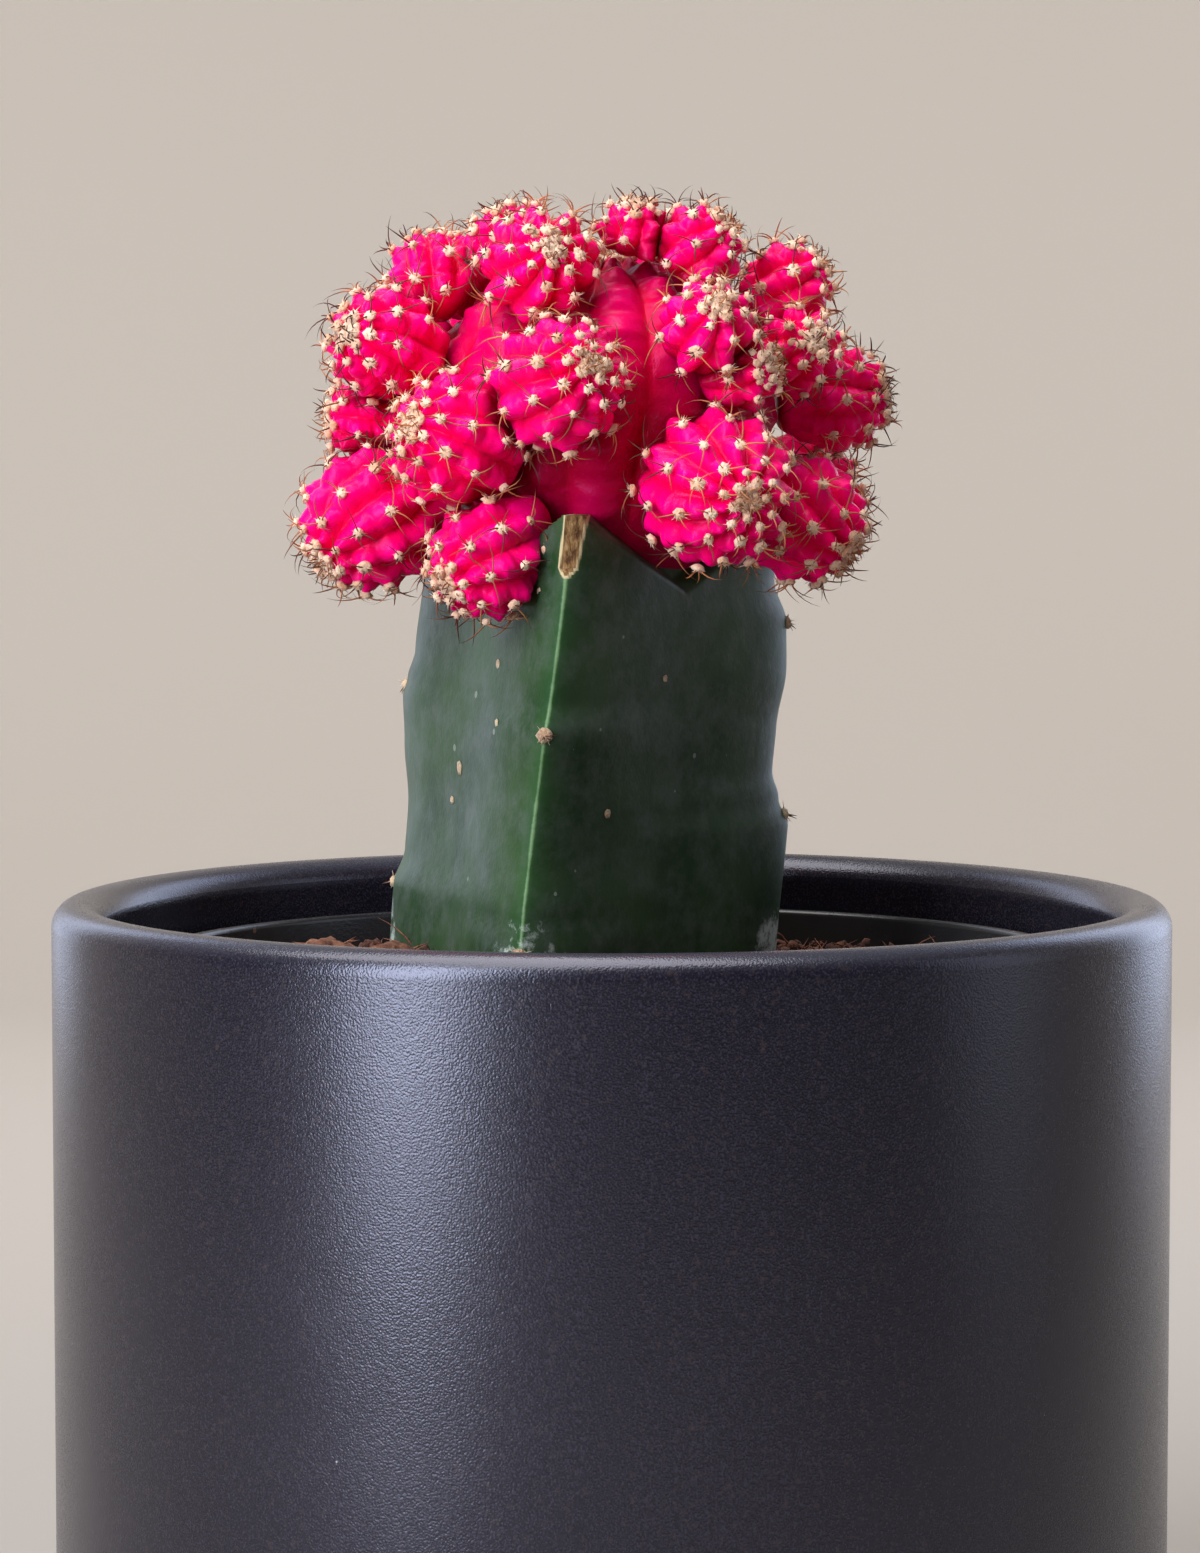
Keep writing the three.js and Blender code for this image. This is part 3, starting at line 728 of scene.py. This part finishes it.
def add_wool(bm, material_index, seat, way, size, height, draw, hairs=11):
    """An areole's felt: a ragged low pad, with short hairs lying out from it."""
    add_tuft(bm, material_index, seat, way, size, height, draw)
    first, second = tangents(way)
    for i in range(hairs):
        turn = 2 * math.pi * (i + draw.uniform(-0.4, 0.4)) / hairs
        out = math.cos(turn) * first + math.sin(turn) * second
        lean = (out + way * draw.uniform(0.2, 1.6)).normalized()
        length = size * draw.uniform(1.1, 2.0)
        add_spine(bm, material_index, seat, lean, -0.3 * way, length, 0.12 * size, HAIR)


# Areoles of the stem: turn in degrees from the front wing, and height over the rim in millimetres.
STEM_AREOLES = [(0, 18.8), (0, -3.7), (120, 29.2), (120, 8.2), (-120, 22.2), (-120, 0.2)]
# Small round scars where the skin has corked over: turn, height, and radius in millimetres.
STEM_SCARS = [
    (-28, 25.6, 0.55), (-62, 14.2, 0.75), (-70, 10.6, 0.5),
    (-22, 19.6, 0.45), (22, 10.2, 0.5), (48, 24.0, 0.4),
]
ROOTS = 5
ROOT_TURN = 2.4  # radians from each root to the next


def rootstock():
    around, rows = 300, 210
    bm = bmesh.new()
    keel = bm.verts.layers.float.new("keel")
    scuff = bm.verts.layers.float.new("scuff")
    cut = bm.verts.layers.float.new("cut")
    bmesh.ops.create_cone(
        bm, cap_ends=True, cap_tris=True, segments=around, radius1=1, radius2=1, depth=1,
        matrix=Matrix.Translation((0, 0, 0.5)),
    )
    sides = [edge for edge in bm.edges if abs(edge.verts[0].co.z - edge.verts[1].co.z) > 0.5]
    bmesh.ops.subdivide_edges(bm, edges=sides, cuts=rows - 1, use_grid_fill=True)
    for vertex in bm.verts:
        # Columns crowd towards the wings' edges, and rows towards the top.
        even = math.atan2(vertex.co.x, -vertex.co.y)
        turn = even - 0.2 * math.sin(3 * even)
        z = STEM_FOOT + (STEM_TOP - STEM_FOOT) * vertex.co.z ** 0.75
        spread = vertex.co.xy.length
        _, pared = stem_reach(turn, z)
        ripple = 1 + 0.006 * noise.noise(Vector((2 * math.cos(turn), 2 * math.sin(turn), 90 * z)))
        vertex.co = stem_axis(z).lerp(stem_point(turn, z), spread * ripple)
        # How near a wing's edge the skin is: this places the painted highlight and glow.
        vertex[keel] = 1 - min(1.0, abs(off_wing(turn)) / KEEL_WIDTH)
        vertex[cut] = max(pared, smooth(0.999 - spread, 0, 0.01) if z > STEM_TOP - 0.01 * MM else 0)
        near_mix = 1 - smooth(z, RIM_Z - 6 * MM, RIM_Z + 9 * MM)
        at_edge = 1 - smooth(abs(off_wing(turn)), 0.05, 0.4)
        vertex[scuff] = near_mix * (0.25 + 0.75 * at_edge)
    bmesh.ops.recalc_face_normals(bm, faces=bm.faces)

    draw = random.Random(11)
    for turn_degrees, height in STEM_AREOLES:
        turn, z = math.radians(turn_degrees), RIM_Z + height * MM
        seat = stem_point(turn, z, -0.15 * MM)
        outward = (seat - stem_axis(z)).normalized()
        add_wool(bm, 1, seat, outward, 0.85 * MM, 0.6 * MM, draw)
        for i in range(3):
            swing = Vector((draw.uniform(-1, 1), draw.uniform(-1, 1), draw.uniform(-1.2, 0.2)))
            way = (outward + 1.2 * swing).normalized()
            length = draw.uniform(0.9, 1.5) * MM
            add_spine(bm, 2, seat + 0.3 * MM * outward, way, 0.1 * swing, length, 0.1 * MM)
    for turn_degrees, height, radius in STEM_SCARS:
        turn, z = math.radians(turn_degrees), RIM_Z + height * MM
        seat = stem_point(turn, z)
        beside = stem_point(turn + 0.01, z) - seat
        facing = beside.cross(Vector((0, 0, 1))).normalized()
        if facing.dot(seat - stem_axis(z)) < 0:
            facing = -facing
        add_tuft(bm, 1, seat, facing, radius * MM, 0.12 * MM, draw)
    for index in range(ROOTS):
        azimuth = ROOT_TURN * index
        start = STEM_FOOT + (4 + 2 * (index % 2)) * MM
        outward = Vector((math.sin(azimuth), -math.cos(azimuth), 0))
        base = stem_axis(start) + 3 * MM * outward
        way = (outward - 0.35 * Vector((0, 0, 1))).normalized()
        add_spine(bm, 0, base, way, Vector((0, 0, -0.55)), (17 + 3 * (index % 3)) * MM, 1.4 * MM)
    return keep("winged_rootstock", bm, [stem_skin(), stem_wool, stem_spine])


stock = rootstock()
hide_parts("rootstock")
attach(stock, "root")

# ---- Potting mix --------------------------------------------------------------------------------
# Damp coconut coir, mounded a little round the stem. Its surface is loose: crumbs of all sizes, and
# brown fibres that stick up out of it.

MIX_EDGE = LINER_TOP - 4.4 * MM
MIX_MOUND = 3.4 * MM
MIX_RADIUS = LINER_RADIUS - LINER_WALL - 0.2 * MM
MIX_GAP = 0.3 * MM  # between the mix and the nursery pot lower down
MIX_RINGS = 46
CRUMBS = 2600
TINY = 0.4 * MM  # a crumb smaller than this has a plainer shape
FIBRES = 700


def mix_height(x, y):
    r = math.hypot(x - stem_axis(MIX_EDGE).x, y)
    mound = MIX_MOUND * (1 - smooth(r, 16 * MM, 40 * MM))
    u, v = x / MM, y / MM
    lumps = 0.5 * math.sin(0.31 * u + 1.7) * math.cos(0.27 * v) + 0.35 * math.sin(0.62 * v - 0.5 * u)
    return MIX_EDGE + mound + lumps * MM


def coir(name, dark, mid, pale):
    """Crumbled coir: brown, with pale and almost black grains, and very rough."""
    material, tree, shader = new_material(name, mid, 0.92)
    place = object_coordinates(tree)
    grains = noise_texture(tree, place, 700, 5, 0.7)
    strands = noise_texture(tree, place, 900, 3, 0.6, stretch=(0.25, 1, 1))
    crumble = shared(tree, grains, 0.6, strands)
    colour = ramp(tree, crumble, [(0.36, dark), (0.5, mid), (0.66, pale)])
    tree.links.new(colour, shader.inputs["Base Color"])
    bump(tree, shader, crumble, 0.6 * MM)
    return material


coir_mix = coir("coir_mix", (0.016, 0.006, 0.004), (0.080, 0.026, 0.014), (0.19, 0.075, 0.04))
coir_fibre = coir("coir_fibre", (0.09, 0.026, 0.012), (0.2, 0.07, 0.035), (0.34, 0.15, 0.08))


def spot(draw, nearest, farthest):
    """An even random place on the mix, between two shares of the area counted from its middle."""
    azimuth, out = draw.uniform(0, 2 * math.pi), math.sqrt(draw.uniform(nearest, farthest))
    return MIX_RADIUS * out * math.cos(azimuth), MIX_RADIUS * out * math.sin(azimuth)


def potting_mix():
    floor = LINER_FOOT + RAISED_FLOOR + MIX_GAP
    step = LINER_TOP - COLLAR_HEIGHT
    shoulder = LINER_RADIUS - COLLAR_STEP - LINER_WALL - MIX_GAP
    profile = [(0, floor), (LINER_FOOT_RADIUS - LINER_WALL - MIX_GAP, floor), (shoulder, step)]
    profile += [(MIX_RADIUS, step + 2.3 * MM)]
    profile += [(MIX_RADIUS * (1 - i / MIX_RINGS), MIX_EDGE) for i in range(MIX_RINGS + 1)]
    bm = spun(profile, 150)
    for vertex in bm.verts:
        x, y, z = vertex.co
        if z > MIX_EDGE - 0.01 * MM:
            rough = noise.fractal(Vector((x, y, 0.3)) * 420, 0.9, 2.1, 4)
            vertex.co.z = mix_height(x, y) + 0.42 * MM * rough
    draw = random.Random(5)
    tiny_crumb = tuft_template(1)
    for _ in range(CRUMBS):
        x, y = spot(draw, 0.09, 0.985)
        size = draw.choice((0.25, 0.35, 0.35, 0.5, 0.5, 0.7, 0.9)) * MM
        turn = Quaternion([draw.gauss(0, 1) for _ in range(4)]).normalized()
        long, wide = draw.uniform(0.9, 1.9), draw.uniform(0.6, 1.0)
        half = size * Vector((long, wide, 0.7))
        middle = Vector((x, y, mix_height(x, y) + 0.35 * size))
        if middle.xy.length + half.x < MIX_RADIUS:
            add_copy(bm, TUFT if size > TINY else tiny_crumb, 0, lambda v: middle + turn @ (v * half))
    for _ in range(FIBRES):
        x, y = spot(draw, 0.12, 0.9)
        lean = Vector((draw.uniform(-1, 1), draw.uniform(-1, 1), draw.uniform(0.1, 0.55)))
        curl = Vector((draw.uniform(-0.4, 0.4), draw.uniform(-0.4, 0.4), draw.uniform(-0.55, -0.15)))
        root = Vector((x, y, mix_height(x, y)))
        length = draw.uniform(2.5, 6.5) * MM
        tip = root + lean.normalized() * length + curl * length
        if tip.xy.length < MIX_RADIUS:
            add_spine(bm, 1, root, lean.normalized(), curl, length, 0.13 * MM)
    return keep("coir_potting_mix", bm, [coir_mix, coir_fibre])


soil = potting_mix()
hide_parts("potting_mix")
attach(soil, "root")

# ---- Husk chips ---------------------------------------------------------------------------------
# Broken pieces of coconut husk, a few millimetres long, lying half sunk in the mix. They are fibrous
# along their length, and paler where they have dried.

CHIP_FIBRES = 26
husk = coir("dry_husk", (0.045, 0.014, 0.008), (0.13, 0.045, 0.022), (0.30, 0.14, 0.075))


def husk_chip(name, seed):
    low, high = (Vector(corner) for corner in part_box(name))
    middle, half = (low + high) / 2, (high - low) / 2
    bm = bmesh.new()
    bmesh.ops.create_icosphere(bm, subdivisions=4, radius=1)
    for vertex in bm.verts:
        v = vertex.co
        lumps = 0.34 * noise.noise(1.6 * v + Vector((seed, 0, 0)))
        flaws = 0.12 * noise.noise(5 * v + Vector((0, seed, 0)))
        strands = 0.14 * noise.noise(Vector((0.8 * v.x, 9 * v.y + seed, 9 * v.z)))
        vertex.co = middle + v * half * (1 + lumps + flaws) * (1 + strands)
    draw = random.Random(round(10 * seed))
    for _ in range(CHIP_FIBRES):
        side = Vector((draw.choice((-0.7, 0.7)), draw.uniform(-0.7, 0.7), draw.uniform(0.0, 0.7)))
        root = middle + side * half
        way = Vector((side.x, draw.uniform(-0.5, 0.5), draw.uniform(-0.1, 0.5))).normalized()
        curl = Vector((0, draw.uniform(-0.4, 0.4), draw.uniform(-0.3, 0.3)))
        add_spine(bm, 1, root, way, curl, draw.uniform(0.9, 2.4) * MM, 0.09 * MM)
    return keep(f"{name}_fibrous", bm, [husk, coir_fibre])


for number in range(1, 10):
    chip = husk_chip(f"husk_chip_{number}", 3.1 * number)
    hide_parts(f"husk_chip_{number}")
    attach(chip, "root")

# ---- Scion: mother head and pups ----------------------------------------------------------------
# The grafted head has no green in it, so its flesh shows red. It is crowded with pups, small heads on
# short necks. Each has ribs with a row of woolly areoles, and each areole bears a few thin spines.

SEAM = 0.1 * MM  # how far neighbours press into each other
SEAM_ROUND = 0.9 * MM  # how far from a seam the skin starts to turn towards it
NEIGHBOURLY = 1.15  # heads nearer than this many times their radii may touch
RIB_DEPTH = 0.15  # of a pup's radius
MOTHER_RIB_DEPTH = 0.05
TUBERCLE = 0.85 * MM
PLEAT = 0.11 * MM  # fine creases across the ribs
RIB_TWIST = 0.25  # of a rib, per radian from the crown
# Along a rib, areole n lies START + GAP * n + GROWTH * n * n from the crown, in millimetres.
AREOLE_START = 0.9
AREOLE_GAP = 1.7
AREOLE_GROWTH = 0.36
MOST_AREOLES = 12  # on one rib
CROWN_TUFTS = 16
MOTHER_CROWN = 9 * MM  # the mother head's old areoles have gone beyond this
FOLD_REACH = 2.6 * MM  # how close a neighbour must be for the flesh to be painted in deeper shade

MOTHER_MIDDLE = Vector((-1 * MM, 0, RIM_Z + 53 * MM))
MOTHER_RADIUS = 18.5 * MM
MOTHER_FLATNESS = 0.86
MOTHER_SKIRT = 5 * MM  # how far its flesh has grown down over the edges of the cut

# One row a pup: azimuth and tilt of its seat on the mother head, distance between the two middles and
# radius in millimetres, azimuth and tilt of its growing point, and its number of ribs.
PUPS = [
    (-74, -26, 28.1, 7.5, -62, -40, 10),
    (-32, -36, 27.8, 6.0, -52, -28, 9),
    (-41, -10, 22.8, 7.0, -50, 14, 10),
    (-12, 4, 22.3, 6.7, 36, 20, 10),
    (32, -22, 23.6, 8.0, 26, -10, 11),
    (31, 19.5, 22.2, 4.9, 14, 34, 8),
    (51, 51, 20.2, 4.8, 66, 42, 8),
    (-27, 44, 19.9, 6.2, 14, 20, 9),
    (-84, 36, 22.6, 4.7, -150, 60, 8),
    (-71, 14, 25.0, 5.8, -40, 12, 9),
    (-82, -4, 25.4, 4.3, -84, 0, 8),
    (95, 1, 25.2, 5.6, 84, 8, 9),
    (73, -29, 25.2, 6.7, 70, -32, 10),
    (87, 32, 23.3, 4.6, 84, 36, 8),
    (42, 8, 21.2, 4.2, 62, 14, 8),
    (69, 14, 22.9, 4.3, 22, 14, 8),
    (26, 65, 18.8, 4.1, 20, 74, 8),
    (-68, 58, 19.8, 4.1, -100, 72, 8),
    (118, -22, 26.2, 6.6, 118, -26, 10),
    (152, -28, 26.0, 6.8, 150, -30, 10),
    (-166, -24, 26.0, 7.2, -168, -22, 10),
    (-124, -22, 26.6, 6.8, -118, -28, 10),
    (128, 16, 24.0, 6.2, 126, 18, 9),
    (165, 8, 23.6, 6.4, 168, 14, 9),
    (-146, 10, 24.4, 6.6, -142, 14, 10),
    (-112, 16, 24.4, 5.4, -112, 24, 9),
    (146, 42, 21.2, 5.4, 140, 50, 9),
    (-164, 36, 21.4, 5.6, -160, 46, 9),
    (-120, 40, 21.2, 4.8, -116, 52, 8),
    (102, 60, 18.6, 4.2, 96, 70, 8),
]


def heading(azimuth, tilt):
    """The unit vector at an azimuth (0 towards -Y, 90 towards +X) and a tilt, in degrees."""
    a, t = math.radians(azimuth), math.radians(tilt)
    return Vector((math.sin(a) * math.cos(t), -math.cos(a) * math.cos(t), math.sin(t)))


class Head:
    """One ribbed head: where it is, how big it is, and which way its growing point faces."""

    def __init__(
        self, node, middle, radius, crown, ribs, inward, neck,
        sharpness=6, flatness=1.0, rib_depth=RIB_DEPTH,
    ):
        self.node, self.middle, self.radius, self.crown, self.ribs = node, middle, radius, crown, ribs
        self.inward, self.neck, self.sharpness = inward, neck, sharpness
        self.flatness, self.rib_depth = flatness, rib_depth
        self.upright = Vector((0, 0, 1)).rotation_difference(crown)
        self.walls = []

    def meet(self, heads):
        """Notes the planes where this head is pressed against its neighbours."""
        for other in heads:
            apart = (other.middle - self.middle).length
            if other is self or apart > NEIGHBOURLY * (self.radius + other.radius) + self.neck + other.neck:
                continue
            share = (apart**2 + self.radius**2 - other.radius**2) / (2 * apart)
            self.walls.append(((other.middle - self.middle) / apart, share + SEAM, other))

    def areole_phase(self, phi):
        """Counts areoles along a rib from the crown. They open out as the rib grows."""
        run = self.radius * phi / MM - AREOLE_START
        root = math.sqrt(max(0.0, AREOLE_GAP**2 + 4 * AREOLE_GROWTH * run))
        return (root - AREOLE_GAP) / (2 * AREOLE_GROWTH)

    def free_reach(self, theta, phi):
        """The skin's distance from the middle where no neighbour presses on it, and how deep it lies, which
        sets how much painted shade it gets.
        """
        turns = self.ribs * theta / (2 * math.pi) + RIB_TWIST * phi
        rib = round(turns)
        crest = math.cos(math.pi * (turns - rib))
        open_out = smooth(phi * self.radius, 0.3 * MM, 3.2 * MM) * (1 - smooth(phi, 1.9, 2.7))
        along = self.areole_phase(phi) - 0.5 * (rib % 2)
        knob = (0.5 + 0.5 * math.cos(2 * math.pi * along)) * crest**1.5
        wander = 2.5 * noise.noise(Vector((2.2 * math.cos(theta), 2.2 * math.sin(theta), 3 * phi)))
        pleat = PLEAT * math.cos(6 * math.pi * along + wander) * crest
        flat = 1 / math.hypot(math.sin(phi), math.cos(phi) / self.flatness)
        sunken_crown = 0.05 * self.radius * (1 - smooth(phi, 0.05, 0.55))
        groove = (1 - crest**0.7) * self.rib_depth * self.radius
        reach = self.radius * flat - groove * open_out + TUBERCLE * (knob - 0.5) * open_out
        return reach + pleat * open_out - sunken_crown, (1 - 0.6 * crest**0.7 - 0.4 * knob) * open_out

    def reach(self, theta, phi):
        """The skin's distance and direction from the middle, its depth, and how hard it is pressed."""
        local = Vector((math.sin(phi) * math.cos(theta), math.sin(phi) * math.sin(theta), math.cos(phi)))
        way = self.upright @ local
        free, depth = self.free_reach(theta, phi)
        free += self.neck * max(0.0, way.dot(self.inward)) ** self.sharpness
        reach = free
        for normal, distance, _ in self.walls:
            facing = way.dot(normal)
            if facing > 0.05:
                limit = distance / facing
                blend = max(SEAM_ROUND - abs(reach - limit), 0) / SEAM_ROUND
                reach = min(reach, limit) - blend * blend * SEAM_ROUND / 4
        return reach, way, depth, free - reach

    def fold(self, point, within=FOLD_REACH):
        """1 where a neighbour is pressed close, falling to 0 where the flesh stands free."""
        gap = min(((point - other.middle).length - other.radius for _, _, other in self.walls), default=1.0)
        return 1 - smooth(gap, 0, within)


mother = Head(
    "mother_head", MOTHER_MIDDLE, MOTHER_RADIUS, Vector((0, 0, 1)), 14, Vector((0, 0, -1)), MOTHER_SKIRT,
    sharpness=2, flatness=MOTHER_FLATNESS, rib_depth=MOTHER_RIB_DEPTH,
)
heads = [mother]
for number, (seat_az, seat_tilt, distance, radius, crown_az, crown_tilt, ribs) in enumerate(PUPS, 1):
    seat = heading(seat_az, seat_tilt)
    neck = max(0.0, distance * MM - 0.92 * MOTHER_RADIUS - radius * MM)
    middle = MOTHER_MIDDLE + distance * MM * seat
    crown = heading(crown_az, crown_tilt)
    heads.append(Head(f"pup_{number:02d}", middle, radius * MM, crown, ribs, -seat, neck))
for head in heads:
    head.meet(heads)


def scion_flesh():
    """Red flesh with no green in it: magenta where it is full, slightly clear, and painted with shade in
    deep crimson down its furrows and where heads crowd together.
    """
    material, tree, shader = new_material(
        "scion_flesh", (0.9, 0.0005, 0.12), 0.38, Specular_IOR_Level=0.26, Specular_Tint=(1, 0.2, 0.55, 1),
        Subsurface_Weight=0.3, Subsurface_Radius=(1.0, 0.1, 0.3), Subsurface_Scale=1.4 * MM,
    )
    place = object_coordinates(tree)
    blush = noise_texture(tree, place, 120, 3)
    skin = ramp(tree, blush, [(0.3, (0.93, 0.0002, 0.125)), (0.7, (0.97, 0.0006, 0.20))])
    # Painted shade: deep crimson down the furrows between ribs and tubercles.
    furrow_shade = ramp(tree, attribute(tree, "depth"), [(0.25, 0.0), (0.95, 0.9)])
    skin = mix(tree, furrow_shade, skin, (0.78, 0.0002, 0.035))
    # Painted shade: darkest red where a neighbouring head presses close, and over the mother head.
    crowded = ramp(tree, attribute(tree, "fold"), [(0.2, 0.0), (1.0, 0.92)])
    skin = mix(tree, crowded, skin, (0.24, 0.0001, 0.004))
    cells = noise_texture(tree, place, 1900, 3, 0.6)
    skin = mix(tree, ramp(tree, cells, [(0.58, 0.0), (0.8, 0.22)]), skin, (0.97, 0.006, 0.26))
    tree.links.new(skin, shader.inputs["Base Color"])
    tree.links.new(ramp(tree, blush, [(0.3, 0.24), (0.7, 0.34)]), shader.inputs["Roughness"])
    folds = noise_texture(tree, place, 480, 4, 0.6)
    bump(tree, shader, shared(tree, cells, 0.25, folds), 0.2 * MM)
    return material


flesh = scion_flesh()
head_wool = felt("head_wool", (0.88, 0.59, 0.40), (0.66, 0.32, 0.17))
head_spine = spine_material("head_spine", (0.085, 0.020, 0.012), (0.020, 0.006, 0.005), (0.48, 0.17, 0.06))


def areoles(head):
    """The seat of each areole that stands free: its angles about the crown, counted along every rib."""
    for rib in range(head.ribs):
        for count in range(MOST_AREOLES):
            run = count + 0.5 * (rib % 2)
            phi = (AREOLE_START + AREOLE_GAP * run + AREOLE_GROWTH * run * run) * MM / head.radius
            theta = 2 * math.pi * (rib - RIB_TWIST * phi) / head.ribs
            if phi > 2.5:
                break
            reach, way, _, pressed = head.reach(theta, phi)
            seat = head.middle + way * reach
            if pressed < 0.5 * MM and way.dot(head.inward) < 0.5 and head.fold(seat) < 0.75:
                yield seat, way, phi * head.radius


def arm(bm, head, seat, way, young, draw):
    """The claw-like spines of one areole, spreading from it and bending back towards the flesh."""
    first, second = tangents(way)
    start = draw.uniform(0, 2 * math.pi)
    count = draw.choice((3, 4, 4, 5)) if young < 0.7 else 2
    for i in range(count):
        turn = start + 2 * math.pi * (i + draw.uniform(-0.3, 0.3)) / count
        out = math.cos(turn) * first + math.sin(turn) * second
        lean = (out + way * draw.uniform(0.5, 1.5) + 0.4 * young * head.crown).normalized()
        side = draw.uniform(-0.45, 0.45) * way.cross(out)
        curl = -draw.uniform(0.25, 0.7) * way + side - 0.25 * young * out
        length = draw.uniform(2.8, 5.2) * (1 - 0.3 * young) * MM
        add_spine(bm, 2, seat, lean, curl, length, draw.uniform(0.07, 0.10) * MM)


def grow_head(head, around, rows, seed):
    draw = random.Random(seed)
    bm = bmesh.new()
    furrow_shade_layer = bm.verts.layers.float.new("depth")
    crowded_shade_layer = bm.verts.layers.float.new("fold")
    bm.verts.layers.float.new("along")
    bmesh.ops.create_uvsphere(bm, u_segments=around, v_segments=rows, radius=1)
    for vertex in bm.verts:
        phi = math.acos(max(-1.0, min(1.0, vertex.co.z)))
        theta = math.atan2(vertex.co.y, vertex.co.x)
        reach, way, depth, pressed = head.reach(theta, phi)
        vertex.co = head.middle + way * reach
        vertex[furrow_shade_layer] = depth
        vertex[crowded_shade_layer] = head.fold(vertex.co)
        # The mother head's older flesh is deeper red, and it lies in the shade of its pups: this mask
        # paints both, with painted shade deeper where pups press close and towards its bottom.
        if head is mother:
            lower = smooth(MOTHER_MIDDLE.z + 6 * MM - vertex.co.z, 0, 14 * MM)
            vertex[crowded_shade_layer] = 0.55 + 0.15 * head.fold(vertex.co, 7 * MM) + 0.3 * lower
    bmesh.ops.recalc_face_normals(bm, faces=bm.faces)

    for seat, way, run in areoles(head):
        if head is mother and run > MOTHER_CROWN:
            continue
        young = 1 - smooth(run, 1.5 * MM, 6 * MM)
        size = 0.66 * MM * draw.uniform(0.75, 1.2)
        add_wool(bm, 1, seat, way, size, 0.42 * MM, draw)
        arm(bm, head, seat, way, young, draw)
    for i in range(CROWN_TUFTS):
        phi = draw.uniform(0, 3.0) * MM / head.radius
        reach, way, _, pressed = head.reach(draw.uniform(0, 2 * math.pi), phi)
        if pressed < 0.5 * MM:
            seat = head.middle + way * reach
            add_wool(bm, 1, seat, way, draw.uniform(0.4, 0.62) * MM, 0.4 * MM, draw, hairs=8)
            if i % 5 == 0:
                arm(bm, head, seat, way, 1.0, draw)
    return keep(f"{head.node}_ribbed", bm, [flesh, head_wool, head_spine])


for number, head in enumerate(heads):
    around, rows = (300, 170) if head is mother else (112, 64)
    grown = grow_head(head, around, rows, 100 + number)
    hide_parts(head.node)
    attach(grown, "root")
